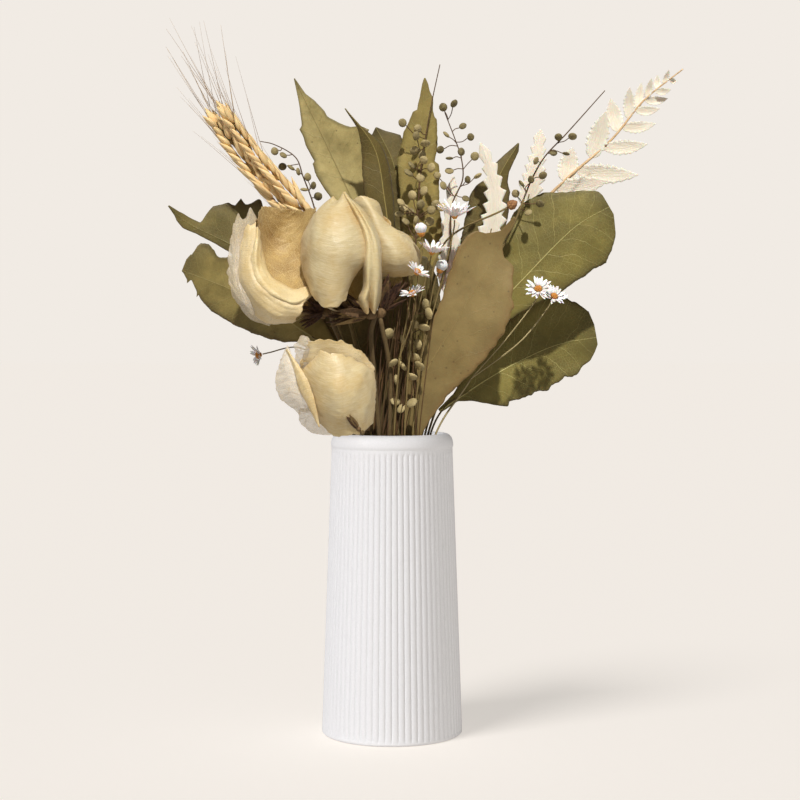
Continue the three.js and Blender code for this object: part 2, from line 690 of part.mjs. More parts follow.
const POD_SPRAYS = [
  {
    name: "pod_spray_middle",
    neck: [8, 4],
    main: [[39, 1, 325], [40, 1, 352], [47, 1, 369], [46, 1, 383], [42, 1, 395], [35, 1, 413]],
    depth: -2,
    pods: [
      [33.9, 416], [41, 418], [47, 404], [36, 398], [52, 396], [46, 387], [32, 388], [38, 382],
      [55, 384], [38, 374], [50, 368], [57, 371], [30, 371], [34, 364], [49, 356],
    ],
  },
  {
    name: "pod_spray_right",
    neck: [20, 0],
    main: [[84, -1, 346], [92, -2, 367], [101, -2, 383], [115, -2, 398], [141, -2, 427]],
    depth: -5,
    pods: [
      [110, 396], [119, 396], [107, 386], [115, 385], [95, 380], [100, 371], [92, 368],
      [85.5, 365], [82, 359], [98, 352], [90, 346],
    ],
  },
  {
    name: "pod_spray_left",
    neck: [-21, 9],
    main: [[-46, 20, 325], [-54, 20, 356], [-60, 18, 372], [-65, 18, 385], [-80, 18, 394], [-89, 18, 396]],
    depth: 15,
    pods: [
      [-79, 389], [-73, 386], [-74, 379], [-68, 378], [-63, 375], [-57, 372], [-53, 366],
      [-59, 363], [-50, 359],
    ],
  },
  {
    name: "pod_spray_upper",
    neck: [3, -8],
    main: [[14, -3, 310], [17, 0, 345], [19, 4, 375], [22, 6, 395], [27, 8, 423], [32, 9, 446]],
    depth: 0,
    pods: [
      [7, 406], [16, 397], [20, 385], [13, 378], [26, 376], [19, 370], [21, 361], [6, 353],
      [12, 347], [19, 352], [26, 348], [9, 341],
    ],
  },
  {
    name: "pod_spray_low",
    neck: [4, -15],
    main: [[6, -14, 225], [9, -13.5, 255], [14.5, -12.3, 280], [19, -12.3, 298]],
    depth: -18,
    pods: [
      [15, 272], [7, 262], [11, 252], [7, 245], [3, 236], [2, 222], [22, 285],
    ],
  },
];

POD_SPRAYS.forEach(({ name, neck, main, depth, pods }) => {
  const twigSteps = 10;
  const nodes = smooth(main).getSpacedPoints(twigSteps);
  const solids = [stem([...throughNeck(neck), main[0], nodes[1]], 0.9), stem(main, 0.7, twigSteps, 4)];
  pods.forEach((place, i) => solids.push(pod(nodes, place, i, depth)));
  addPiece(name, fuse(solids), "pod");
});

// ---- Everlasting daisies ----
// Each head has an orange disc on its base and a ring of white papery rays round it.
const RAY_COUNT = 10;
const DISC_RADIUS = 2.7;

function rays(head, facing, reach, lift) {
  const outline = [];
  for (let i = 0; i < RAY_COUNT; i++) {
    const step = (2 * Math.PI) / RAY_COUNT;
    [[i * step, reach], [(i + 0.5) * step, 0.62 * reach]].forEach(([angle, radius]) => {
      outline.push(new THREE.Vector2(radius * Math.cos(angle), radius * Math.sin(angle)));
    });
  }
  const shape = new THREE.Shape(outline);
  shape.holes.push(new THREE.Path().absarc(0, 0, DISC_RADIUS + 2 * GAP, 0, 2 * Math.PI));
  const geometry = new THREE.ExtrudeGeometry(shape, { depth: 0.8, bevelEnabled: false, curveSegments: 5 });
  const position = geometry.attributes.position;
  for (let i = 0; i < position.count; i++) {
    const radius = Math.hypot(position.getX(i), position.getY(i));
    position.setZ(i, position.getZ(i) - 0.4 + lift * (radius - DISC_RADIUS));
  }
  return aimed(geometry, head, facing);
}

function disc(head, facing) {
  const profile = [[0, -3], [1.6, -2.6], [DISC_RADIUS, -0.4], [2.2, 1.3], [0, 2.1]];
  return aimed(turned(profile, 8), head, facing);
}

const DAISIES = [
  { name: "daisy_1", head: [42, -22, 348], facing: [0.1, -0.45, 0.9], reach: 8.5, lift: 0.3 },
  { name: "daisy_2", head: [23, -37, 333], facing: [0, -0.2, 1], reach: 5.5, lift: 1.3 },
  { name: "daisy_3", head: [28, -33, 323], facing: [-0.15, -0.45, 0.9], reach: 7, lift: 0.5 },
  { name: "daisy_4", head: [34, -27, 309], facing: [0.1, -0.3, 1], reach: 5.5, lift: 1.3 },
  { name: "daisy_5", head: [19, -54, 305], facing: [0.5, -0.5, 0.7], reach: 7.5, lift: 0.4 },
  { name: "daisy_6", head: [13, -52, 288], facing: [0.3, -0.9, -0.3], reach: 7.5, lift: 0.4 },
  { name: "daisy_7", head: [96, -16, 298], facing: [-0.05, -0.75, 0.66], reach: 8.5, lift: 0.25 },
  { name: "daisy_8", head: [108, -5, 291], facing: [0.3, -0.6, 0.7], reach: 8, lift: 0.3 },
  { name: "daisy_9", head: [-87, -26, 252], facing: [-0.85, -0.4, -0.2], reach: 7.5, lift: 0.4 },
];

DAISIES.forEach(({ name, head, facing, reach, lift }) => {
  addPiece(`${name}_disc`, disc(head, facing), "disc");
  addPiece(`${name}_rays`, rays(head, facing, reach, lift), "white");
});

// Stalks: each daisy's own stalk leaves the shared stem and ends just under its head.
function daisyStalks({ name, neck, fork, heads }) {
  const solids = [stem([...throughNeck(neck), fork], 0.8, 6, 4)];
  heads.forEach(([daisy, bend]) => {
    const { head, facing } = DAISIES.find((each) => each.name === daisy);
    const back = vector(facing).normalize();
    const end = vector(head).addScaledVector(back, -3 - GAP);
    const under = vector(head).addScaledVector(back, -8);
    const points = bend ? [fork, bend, under, end] : [fork, under, end];
    solids.push(stem(points, 0.6, 6, 4));
  });
  addPiece(name, fuse(solids), "stalk");
}

[
  { name: "daisy_stalks_front", neck: [13, -20], fork: [19, -28, 250], heads: [["daisy_1"], ["daisy_4"]] },
  { name: "daisy_stalks_middle", neck: [8, -25], fork: [12, -30, 262], heads: [["daisy_2", [19, -36, 315]], ["daisy_3"]] },
  { name: "daisy_stalks_left", neck: [1, -27], fork: [5, -42, 250], heads: [["daisy_5", [12, -48, 290]], ["daisy_6"]] },
  {
    name: "daisy_stalks_right",
    neck: [26, -3],
    fork: [52, -6, 236],
    heads: [["daisy_7", [78, -13, 266]], ["daisy_8", [86, -7, 262]]],
  },
  { name: "daisy_stalk_outer", neck: [-27, -9], fork: [-40, -8, 245], heads: [["daisy_9", [-62, -14, 257]]] },
].forEach(daisyStalks);

// A closed bud on a long curved stalk, beside the tip of the broad front leaf.
function closedBud() {
  const head = [78, -17, 350];
  const facing = [0.8, -0.1, 0.5];
  const base = vector(head).addScaledVector(vector(facing).normalize(), -3 - GAP);
  const bud = turned([[0, -3], [2.4, -1.6], [3.3, 0.6], [2.2, 3.4], [0, 5]], 8);
  addPiece("bud_head", aimed(bud, head, facing), "disc");
  const points = [...throughNeck([14.5, -4.5]), [22, -9, 262], [34, -10, 325], base];
  addPiece("bud_stalk", stem(points, 0.7, 12, 4), "stalk");
}

closedBud();

export default group;
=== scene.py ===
# %% [markdown]
# # A dried flower arrangement in a ribbed vase
#
# Some thirty dried stems stand in a tall white ceramic vase: preserved leaves, papery blooms,
# wheat, seed pods, daisies, a fern and a bud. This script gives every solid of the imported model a
# finer surface. Each leaf, petal, stem and pod is worked out as a grid of points with numpy, and
# gets a procedural material. The midribs and outlines are those of the solid model, so every piece
# stays where its solid is.
#
# Places are written in millimetres, as a maker would note them, and turned into metres once, where
# a mesh is made. +Z is up, +X is to the right, and -Y points at the viewer.

import math

import bpy
import numpy as np
from mathutils import Matrix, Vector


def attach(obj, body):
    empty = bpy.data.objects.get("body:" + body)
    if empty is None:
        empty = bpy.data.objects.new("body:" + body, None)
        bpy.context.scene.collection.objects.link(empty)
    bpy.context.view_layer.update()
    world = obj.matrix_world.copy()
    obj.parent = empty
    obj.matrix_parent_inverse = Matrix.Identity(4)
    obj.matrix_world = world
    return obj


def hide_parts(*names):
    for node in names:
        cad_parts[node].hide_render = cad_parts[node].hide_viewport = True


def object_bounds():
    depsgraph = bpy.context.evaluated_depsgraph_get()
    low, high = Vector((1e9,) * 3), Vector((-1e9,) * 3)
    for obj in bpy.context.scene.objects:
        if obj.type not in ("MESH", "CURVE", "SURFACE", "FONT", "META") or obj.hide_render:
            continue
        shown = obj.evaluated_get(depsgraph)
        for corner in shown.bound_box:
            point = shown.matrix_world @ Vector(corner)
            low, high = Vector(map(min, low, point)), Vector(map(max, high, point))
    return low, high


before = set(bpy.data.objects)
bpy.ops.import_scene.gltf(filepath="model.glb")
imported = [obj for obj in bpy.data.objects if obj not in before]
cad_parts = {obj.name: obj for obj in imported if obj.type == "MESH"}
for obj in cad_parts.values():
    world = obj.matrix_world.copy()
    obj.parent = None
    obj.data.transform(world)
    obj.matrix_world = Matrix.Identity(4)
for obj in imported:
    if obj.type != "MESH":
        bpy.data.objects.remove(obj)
cad_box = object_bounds()
MM = 0.001
print("solid model:", len(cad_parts), "nodes, box in metres", cad_box)

# %% [markdown]
# ## Camera
#
# The camera stands level with the blooms, a little over a metre in front, and looks down by less
# than two degrees. A wide lens from nearer could hold the same view, but the vase would seem to
# narrow towards its foot. A long lens keeps its sides nearly straight.

# %% Camera
CAMERA_PLACE = (0.0053, -1.12, 0.256)
CAMERA_TILT = 1.74  # degrees below level
CAMERA_LENS = 75.6  # mm, for a sensor 36 mm wide

camera_data = bpy.data.cameras.new("camera")
camera_data.lens = CAMERA_LENS
camera = bpy.data.objects.new("camera", camera_data)
camera.location = CAMERA_PLACE
camera.rotation_euler = (math.radians(90 - CAMERA_TILT), 0, 0)
bpy.context.scene.collection.objects.link(camera)
bpy.context.scene.camera = camera
print("camera at", tuple(camera.location), "lens", camera_data.lens)

# %% [markdown]
# ## Curves
#
# Every midrib, twig and stalk is a smooth bend. Curve objects could carry them, but their handles
# would have to be placed one by one. A centripetal Catmull-Rom curve passes through all of
# its points without loops, so a few points read off the real stem are enough.

# %% Curves through points
STEPS_PER_SPAN = 40  # places worked out between two given points


def unit(vectors):
    """Vectors scaled to length 1."""
    vectors = np.asarray(vectors, float)
    return vectors / np.maximum(np.linalg.norm(vectors, axis=-1, keepdims=True), 1e-9)


def curve(points, shares):
    """Points at shares of the length of a centripetal Catmull-Rom curve, its tangents there, and
    its length. Between two points the curve is the cubic whose end slopes weigh the chords to the
    neighbours by the square root of their lengths. Past each end the last chord is repeated."""
    p = np.asarray(points, float)
    p = np.vstack([2 * p[0] - p[1], p, 2 * p[-1] - p[-2]])
    gap = np.linalg.norm(np.diff(p, axis=0), axis=1)[:, None] ** 0.5
    a, b, c = gap[:-2], gap[1:-1], gap[2:]
    p0, p1, p2, p3 = p[:-3], p[1:-2], p[2:-1], p[3:]
    m1 = ((p1 - p0) / a - (p2 - p0) / (a + b) + (p2 - p1) / b) * b
    m2 = ((p2 - p1) / b - (p3 - p1) / (b + c) + (p3 - p2) / c) * b
    t = np.linspace(0, 1, STEPS_PER_SPAN, endpoint=False)[None, :, None]
    p1, p2, m1, m2 = (value[:, None, :] for value in (p1, p2, m1, m2))
    line = p1 + m1 * t + (3 * (p2 - p1) - 2 * m1 - m2) * t**2 + (2 * (p1 - p2) + m1 + m2) * t**3
    line = np.vstack([line.reshape(-1, 3), np.asarray(points[-1], float)[None]])
    length = np.concatenate([[0], np.cumsum(np.linalg.norm(np.diff(line, axis=0), axis=1))])
    slope = np.gradient(line, length, axis=0)
    at = np.asarray(shares, float) * length[-1]
    place = np.stack([np.interp(at, length, line[:, k]) for k in range(3)], axis=1)
    along = np.stack([np.interp(at, length, slope[:, k]) for k in range(3)], axis=1)
    return place, unit(along), length[-1]


bend_length = curve([[0, 0, 0], [10, 0, 10], [0, 0, 20]], [0.5])[2]
print(f"a bend through three points is {bend_length:.1f} mm long")

# %% [markdown]
# ## Parts and pieces
#
# A part is a set of arrays: points, four-sided and three-sided faces, a flat map in centimetres
# (across and along), and one number per point, its tone. The tone lets a material vary from grain
# to grain, or from the midrib (0) to the edge (1) of a leaf. An object for each hair and glume
# would make thousands, so several parts are joined into one object, a piece. A piece stands for one
# solid of the frame, apart from a bundle of thin stems that stands for none.

# %% Parts
def part(points, quads, triangles, flat, tone):
    """A part whose faces look outwards: where its volume comes out negative, its faces turn."""
    points = np.asarray(points, float).reshape(-1, 3)
    quads, triangles = np.asarray(quads).reshape(-1, 4), np.asarray(triangles).reshape(-1, 3)
    corners = np.vstack([quads[:, [0, 1, 2]], quads[:, [0, 2, 3]], triangles])
    a, b, c = (points[corners[:, k]] - points.mean(axis=0) for k in range(3))
    if np.einsum("ij,ij->i", a, np.cross(b, c)).sum() < 0:
        quads, triangles = quads[:, ::-1], triangles[:, ::-1]
    tone = np.broadcast_to(np.asarray(tone, float), (len(points),))
    flat = np.asarray(flat, float).reshape(-1, 2)
    return {"points": points, "quads": quads, "triangles": triangles, "flat": flat, "tone": tone}


def joined(parts):
    """Several parts as one."""
    starts = np.cumsum([0] + [len(each["points"]) for each in parts[:-1]])
    whole = {key: np.concatenate([each[key] for each in parts]) for key in ("points", "flat", "tone")}
    for key in ("quads", "triangles"):
        whole[key] = np.concatenate([each[key] + start for each, start in zip(parts, starts)])
    return whole


# %% Pieces
fine_pieces = []


def piece(name, groups, nodes):
    """One object from [(part, material), ...]. It rides on the one body and stands for the named
    solids of the frame, which it hides."""
    whole = joined([each for each, _ in groups])
    quads, triangles = whole["quads"], whole["triangles"]
    mesh = bpy.data.meshes.new(name)
    mesh.vertices.add(len(whole["points"]))
    mesh.vertices.foreach_set("co", (whole["points"] * MM).ravel())
    corners = np.concatenate([quads.ravel(), triangles.ravel()])
    sizes = np.concatenate([np.full(len(quads), 4), np.full(len(triangles), 3)])
    mesh.loops.add(len(corners))
    mesh.loops.foreach_set("vertex_index", corners)
    mesh.polygons.add(len(sizes))
    mesh.polygons.foreach_set("loop_start", np.concatenate([[0], np.cumsum(sizes)[:-1]]))
    mesh.polygons.foreach_set("loop_total", sizes)
    mesh.polygons.foreach_set("use_smooth", np.ones(len(sizes), bool))
    kinds = [np.full(len(each["quads"]), k) for k, (each, _) in enumerate(groups)]
    kinds += [np.full(len(each["triangles"]), k) for k, (each, _) in enumerate(groups)]
    mesh.polygons.foreach_set("material_index", np.concatenate(kinds))
    mesh.uv_layers.new(name="flat").data.foreach_set("uv", whole["flat"][corners].ravel())
    tone = mesh.attributes.new("tone", "FLOAT", "POINT")
    tone.data.foreach_set("value", whole["tone"].astype(np.float32))
    for _, material in groups:
        mesh.materials.append(material)
    mesh.update(calc_edges=True)
    mesh.validate()
    made = bpy.data.objects.new(name, mesh)
    bpy.context.scene.collection.objects.link(made)
    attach(made, "root")
    if nodes:
        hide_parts(*nodes)
    fine_pieces.append(made)
    low, high = whole["points"].min(axis=0), whole["points"].max(axis=0)
    count = 2 * len(quads) + len(triangles)
    print(f"{name}: {count} triangles, {low.round(0)} to {high.round(0)} mm")
    return made


# %% [markdown]
# ## Ways to make a surface
#
# These few shapes make everything here. Modelling each by hand would give the same forms, but
# formulas on whole arrays are quick, and every measure stays in sight.
#
# - `ringed` closes a stack of rings with a point at each end. The vase, stems and seeds are rings.
# - `tube` carries a circle along a path, and `turned` spins a profile about an axis.
# - `shell` gives a grid of points a thickness. Leaves and petals are shells.
# - `scatter` repeats a small part, each copy turned to its own direction: grains, rays, bristles.

# %% Rings of points, and directions round a centre
def together(*values):
    """Arrays brought to one shape and stacked as coordinates."""
    return np.stack(np.broadcast_arrays(*values), axis=-1)


def around(angle, x, y):
    """The directions cos(a) x + sin(a) y, one for each angle."""
    return np.cos(angle)[:, None] * x + np.sin(angle)[:, None] * y


def ringed(rings, flat, tone=0.5):
    """A closed surface over a grid of rings by columns, with the mean of the first and of the last
    ring as its end points."""
    rows, columns = rings.shape[:2]
    index = np.arange(rows * columns).reshape(rows, columns)
    after = np.roll(index, -1, axis=1)
    quads = np.stack([index[:-1], after[:-1], after[1:], index[1:]], axis=-1).reshape(-1, 4)
    first, last = np.full(columns, rows * columns), np.full(columns, rows * columns + 1)
    ends = [np.stack([after[0], index[0], first], axis=1)]
    ends.append(np.stack([index[-1], after[-1], last], axis=1))
    points = np.vstack([rings.reshape(-1, 3), rings[:1].mean(axis=1), rings[-1:].mean(axis=1)])
    flat = np.vstack([flat.reshape(-1, 2), flat[0, :1], flat[-1, :1]])
    return part(points, quads, np.vstack(ends), flat, tone)


# %% Tubes and turned shapes
def tube(path, radius, sides=8, tone=0.5):
    """A tube: each point of the path plus the radius times (cos a, sin a) in the plane across it.
    The first axis of that plane is square to the path and to a fixed direction."""
    path = np.asarray(path, float)
    along = unit(np.gradient(path, axis=0))
    fixed = np.eye(3)[np.argmin(np.abs(along.mean(axis=0)))]
    first = unit(np.cross(along, fixed))
    second = np.cross(along, first)
    radius = np.broadcast_to(np.asarray(radius, float), (len(path),))
    angle = np.linspace(0, 2 * np.pi, sides, endpoint=False)
    rings = path[:, None] + radius[:, None, None] * around(angle, first[:, None], second[:, None])
    length = np.concatenate([[0], np.cumsum(np.linalg.norm(np.diff(path, axis=0), axis=1))]) / 10
    return ringed(rings, together(0.1 * angle, length[:, None]), tone)


def turned(profile, sides=12, squeeze=1.0):
    """A solid of revolution about Z from (radius, height) pairs. Squeeze flattens it along Y."""
    profile = np.asarray(profile, float)
    angle = np.linspace(0, 2 * np.pi, sides, endpoint=False)
    radius, height = profile[:, :1], profile[:, 1:]
    rings = together(radius * np.cos(angle), squeeze * radius * np.sin(angle), height)
    return ringed(rings, together(0.1 * angle, height / 10))


# %% Shells
EDGE_THINNING = 0.65  # the share of its thickness that a sheet loses at its long edges


def shell(grid, thickness, flat, tone=0.5):
    """A closed sheet: every grid point moved half the thickness to both sides along its normal,
    with a strip of faces round the edge. It thins as the sixth power of the way to a long edge."""
    rows, columns = grid.shape[:2]
    down, across = np.gradient(grid, axis=(0, 1))
    normal = unit(np.cross(across, down))
    edge = np.abs(np.linspace(-1, 1, columns))[None, :, None]
    half = normal * thickness / 2 * (1 - EDGE_THINNING * edge**6)
    count = rows * columns
    index = np.arange(count).reshape(rows, columns)
    front = np.stack([index[:-1, :-1], index[:-1, 1:], index[1:, 1:], index[1:, :-1]], axis=-1)
    front = front.reshape(-1, 4)
    rim = np.concatenate([index[0, :-1], index[:-1, -1], index[-1, :0:-1], index[:0:-1, 0]])
    following = np.roll(rim, -1)
    strip = np.stack([following, rim, rim + count, following + count], axis=1)
    quads = np.vstack([front, front[:, ::-1] + count, strip])
    points = np.vstack([(grid + half).reshape(-1, 3), (grid - half).reshape(-1, 3)])
    tone = np.tile(np.broadcast_to(tone, (rows, columns)).ravel(), 2)
    return part(points, quads, np.zeros((0, 3), int), np.tile(flat.reshape(-1, 2), (2, 1)), tone)


# %% Scatter
def scatter(shape, places, directions, sizes=1.0, spins=0.0, tones=0.5, ups=None):
    """Copies of a part that was made along +Z. Each copy is scaled, spun about Z, turned so that
    Z points along its direction and Y towards its up vector, and moved to its place."""
    places = np.asarray(places, float).reshape(-1, 3)
    count = len(places)
    z = unit(np.broadcast_to(np.asarray(directions, float), (count, 3)))
    default = np.where(np.abs(z[:, 1:2]) < 0.9, [[0.0, -1.0, 0.0]], [[1.0, 0.0, 0.0]])
    up = default if ups is None else np.broadcast_to(np.asarray(ups, float), (count, 3))
    x = unit(np.cross(up, z))
    y = np.cross(z, x)
    spin = np.broadcast_to(np.asarray(spins, float), (count,))[:, None]
    x, y = np.cos(spin) * x + np.sin(spin) * y, np.cos(spin) * y - np.sin(spin) * x
    sizes = np.broadcast_to(np.asarray(sizes, float), (count, 3))
    local = shape["points"][None] * sizes[:, None, :]
    points = places[:, None] + np.einsum("nvk,nkc->nvc", local, np.stack([x, y, z], axis=1))
    shift = np.arange(count)[:, None, None] * len(shape["points"])
    tone = np.broadcast_to(np.asarray(tones, float), (count,))[:, None]
    return {
        "points": points.reshape(-1, 3),
        "quads": (shape["quads"][None] + shift).reshape(-1, 4),
        "triangles": (shape["triangles"][None] + shift).reshape(-1, 3),
        "flat": np.tile(shape["flat"], (count, 1)),
        "tone": np.broadcast_to(tone, (count, len(shape["points"]))).ravel(),
    }


# %% Soft noise
WAVES_PER_OCTAVE = 4


def ripple(points, wavelength, seed, octaves=3):
    """Soft noise from about -1 to 1 at points: sine waves in seeded directions. Each octave
    halves the wavelength and the height."""
    random = np.random.default_rng(seed)
    total = np.zeros(points.shape[:-1])
    for octave in range(octaves):
        for _ in range(WAVES_PER_OCTAVE):
            direction = unit(random.normal(size=points.shape[-1])) * 2 * np.pi / wavelength
            phase = points @ direction * 2**octave + random.uniform(0, 6.28)
            total += np.sin(phase) * 0.5**octave / 3
    return total


print("soft noise at three places:", ripple(np.eye(3), wavelength=5, seed=1).round(2))

# %% [markdown]
# ## Node trees
#
# Dried plants have three scales of detail: broad mottling where they aged unevenly, the veins, and
# a fine grain. Image textures could show them, but they blur close up and need a picture of every
# leaf. So each scale is a node group, built once and placed in every material that shows it.
# Patterns that follow the surface read the flat map. The others read object coordinates.

# %% A short way to write node trees
def linear(red, green, blue):
    """An 8-bit screen colour as the linear colour that a shader takes."""
    value = np.array([red, green, blue]) / 255
    value = np.where(value <= 0.04045, value / 12.92, ((value + 0.055) / 1.055) ** 2.4)
    return (*value.tolist(), 1.0)


class Tree:
    """Adds nodes to a tree and links them. A keyword that is a socket's name (with _ for a space)
    sets or links that socket, and any other keyword sets a property of the node."""

    def __init__(self, tree):
        self.tree = tree

    def put(self, socket, value):
        """Links an output to a socket, or sets the socket to a plain value."""
        if isinstance(value, bpy.types.NodeSocket):
            self.tree.links.new(value, socket)
        else:
            socket.default_value = value

    def node(self, kind, *inputs, **values):
        """All outputs of a new node."""
        node = self.tree.nodes.new("ShaderNode" + kind)
        sockets = {key: value for key, value in values.items() if key[0].isupper()}
        for key, value in values.items():
            if key not in sockets:
                setattr(node, key, value)
        for index, value in enumerate(inputs):
            self.put(node.inputs[index], value)
        for key, value in sockets.items():
            self.put(node.inputs[key.replace("_", " ")], value)
        return node.outputs

    def add(self, kind, *inputs, out=0, **values):
        """One output of a new node."""
        return self.node(kind, *inputs, **values)[out]

    def group(self, group, **values):
        """All outputs of a node group placed in this tree."""
        return self.node("Group", node_tree=group, **values)

    def math(self, operation, *inputs, clamp=False):
        return self.add("Math", *inputs, operation=operation, use_clamp=clamp)

    def times(self, a, b):
        return self.math("MULTIPLY", a, b)

    def plus(self, a, b, clamp=False):
        return self.math("ADD", a, b, clamp=clamp)

    def step(self, value, low, high):
        """0 below low, 1 above high, and a soft step between."""
        return self.add("MapRange", value, low, high, 0.0, 1.0, interpolation_type="SMOOTHSTEP")

    def mix(self, share, a, b):
        """Colour a turned into colour b by a share. Each is an output or an 8-bit screen colour."""
        node = self.tree.nodes.new("ShaderNodeMix")
        node.data_type = "RGBA"
        self.put(node.inputs[0], share)
        for index, colour in ((6, a), (7, b)):
            self.put(node.inputs[index], linear(*colour) if isinstance(colour, tuple) else colour)
        return node.outputs[2]


print("a middle grey of 128 is", round(linear(128, 128, 128)[0], 3), "in a shader")


# %% New node groups
def node_group(name, inputs, outputs):
    """A new group with named inputs, {name: default, or None for a vector}, and float outputs."""
    group = bpy.data.node_groups.new(name, "ShaderNodeTree")
    for label, default in inputs.items():
        kind = "NodeSocketVector" if default is None else "NodeSocketFloat"
        socket = group.interface.new_socket(label, in_out="INPUT", socket_type=kind)
        if default is not None:
            socket.default_value = default
    for label in outputs:
        group.interface.new_socket(label, in_out="OUTPUT", socket_type="NodeSocketFloat")
    given = group.nodes.new("NodeGroupInput").outputs
    result = group.nodes.new("NodeGroupOutput").inputs
    return group, Tree(group), given, result


# %% Mottling: broad uneven patches
MOTTLING, tree, given, result = node_group(
    "mottling", {"Place": None, "Scale": 40.0, "Low": 0.35, "High": 0.65}, ["Mask"]
)
patches = tree.add("TexNoise", Vector=given["Place"], Scale=given["Scale"], Detail=6.0, Roughness=0.6)
tree.put(result["Mask"], tree.step(patches, given["Low"], given["High"]))
print(MOTTLING.name, "group:", len(MOTTLING.nodes), "nodes")

# %% [markdown]
# ## Veins
#
# A leaf has a midrib that narrows to its tip, side veins that leave it at an angle, weaker forks
# between them, and a net of tiny cells. They could be modelled as ridges, but hundreds of veins on
# twelve leaves would need millions of faces. On the flat map they are lines at even steps, bent by
# a noise, and the same masks drive colour and bump.

# %% The vein group and its bent map
VEINS, tree, given, result = node_group(
    "leaf veins",
    {"Flat": None, "Spacing": 1.1, "Slope": 0.8, "Width": 0.05, "Net scale": 5.0, "Wander": 0.55},
    ["Side veins", "Midrib", "Net"],
)
wander = tree.add("TexNoise", Vector=given["Flat"], Scale=0.7, Detail=3.0, out=1)
wander = tree.add("VectorMath", wander, (0.5, 0.5, 0.5), operation="SUBTRACT")
wander = tree.add("VectorMath", wander, operation="SCALE", Scale=given["Wander"])
bent = tree.add("VectorMath", given["Flat"], wander, operation="ADD")
bent_x, bent_y, _ = tree.node("SeparateXYZ", bent)
plain_x, plain_y, _ = tree.node("SeparateXYZ", given["Flat"])
away = tree.math("ABSOLUTE", bent_x)

# %% Side veins and forks
SIDE_SHIFT = 0.27  # in steps: how far the veins of one side are above, and of the other below
SIDE_WIDTH = 1.6  # the width of a side vein, in widths of a fork
FORK_SLOPE, FORK_SPACING, FORK_SHARE = 0.35, 0.61, 0.6  # of those of the side veins
shift = tree.times(tree.math("SIGN", plain_x), SIDE_SHIFT)


def vein_lines(slope, spacing, width, power):
    """Lines at even steps of y - slope |x|^power, 1 in their middle and 0 a width away."""
    climb = tree.times(tree.math("POWER", away, power), slope)
    rise = tree.math("SUBTRACT", bent_y, climb)
    phase = tree.plus(tree.math("DIVIDE", rise, spacing), shift)
    gap = tree.math("ABSOLUTE", tree.math("SUBTRACT", tree.math("FRACT", phase), 0.5))
    return tree.step(tree.times(gap, spacing), width, 0.0)


side_veins = vein_lines(given["Slope"], given["Spacing"], tree.times(given["Width"], SIDE_WIDTH), 0.8)
forks = vein_lines(
    tree.times(given["Slope"], FORK_SLOPE), tree.times(given["Spacing"], FORK_SPACING),
    given["Width"], 1.2,
)
forks = tree.times(tree.times(forks, tree.step(away, 0.5, 1.6)), FORK_SHARE)
tree.put(result["Side veins"], tree.math("MAXIMUM", side_veins, forks))

# %% Midrib and net: the midrib's width, in forks, is given at the foot, as lost per cm, and at least
MIDRIB_FOOT, MIDRIB_NARROWING, MIDRIB_TIP = 3.8, 0.28, 0.9
NET_WIDTH = 0.09
narrowing = tree.math("MULTIPLY_ADD", plain_y, -MIDRIB_NARROWING, MIDRIB_FOOT)
narrowing = tree.math("MAXIMUM", narrowing, MIDRIB_TIP)
midrib = tree.step(tree.math("ABSOLUTE", plain_x), tree.times(given["Width"], narrowing), 0.0)
tree.put(result["Midrib"], midrib)
cells = tree.add(
    "TexVoronoi", Vector=bent, Scale=given["Net scale"], feature="DISTANCE_TO_EDGE",
    voronoi_dimensions="2D",
)
tree.put(result["Net"], tree.step(cells, NET_WIDTH, 0.0))
print(VEINS.name, "group:", len(VEINS.nodes), "nodes")

# %% Fibres: fine lines along a straw, a petal or a stem
FIBRES, tree, given, result = node_group(
    "fibres", {"Flat": None, "Fineness": 30.0, "Stretch": 0.06}, ["Lines"]
)
along = tree.times(given["Fineness"], given["Stretch"])
scale = tree.add("CombineXYZ", given["Fineness"], along, 1.0)
stretched = tree.add("VectorMath", given["Flat"], scale, operation="MULTIPLY")
lines = tree.add("TexNoise", Vector=stretched, Scale=1.0, Detail=4.0, Roughness=0.65)
tree.put(result["Lines"], tree.step(lines, 0.3, 0.7))

# %% Speckles: small round spots
SPECKLES, tree, given, result = node_group(
    "speckles", {"Place": None, "Scale": 250.0, "Size": 0.12, "Share": 0.3}, ["Spots"]
)
dots = tree.node("TexVoronoi", Vector=given["Place"], Scale=given["Scale"])
kept = tree.math("LESS_THAN", tree.add("SeparateXYZ", dots["Color"]), given["Share"])
round_spot = tree.step(dots["Distance"], given["Size"], tree.times(given["Size"], 0.4))
tree.put(result["Spots"], tree.times(round_spot, kept))
print("node groups:", [group.name for group in bpy.data.node_groups])

# %% [markdown]
# ## Materials
#
# All finishes share one recipe: a base colour from two or three shades mixed by the masks above, a
# roughness that varies a little, and a height that drives a bump. `start` opens a material and
# `finish` closes it. What is the same all over, such as gloss, sheen and the light that soaks in, is
# set on the shader itself.

# %% The recipe
def empty(owner):
    """The cleared node tree of a new material or world."""
    owner.use_nodes = True
    owner.node_tree.nodes.clear()
    return Tree(owner.node_tree)


def start(name):
    """A new material with its tree, and the three things that its patterns read: the place in the
    object, the flat map and the tone."""
    material = bpy.data.materials.new(name)
    tree = empty(material)
    place = tree.add("TexCoord", out=3)
    flat = tree.add("UVMap", uv_map="flat")
    tone = tree.add("Attribute", attribute_name="tone", out=2)
    return material, tree, place, flat, tone


def mottled(tree, place, scale, low, high):
    """The mottling mask: 0 where its noise is below low, and 1 where it is above high."""
    return tree.group(MOTTLING, Place=place, Scale=scale, Low=low, High=high)[0]


def speckled(tree, place, scale, size, share):
    """The speckle mask: round spots of a size, in a share of the cells."""
    return tree.group(SPECKLES, Place=place, Scale=scale, Size=size, Share=share)[0]


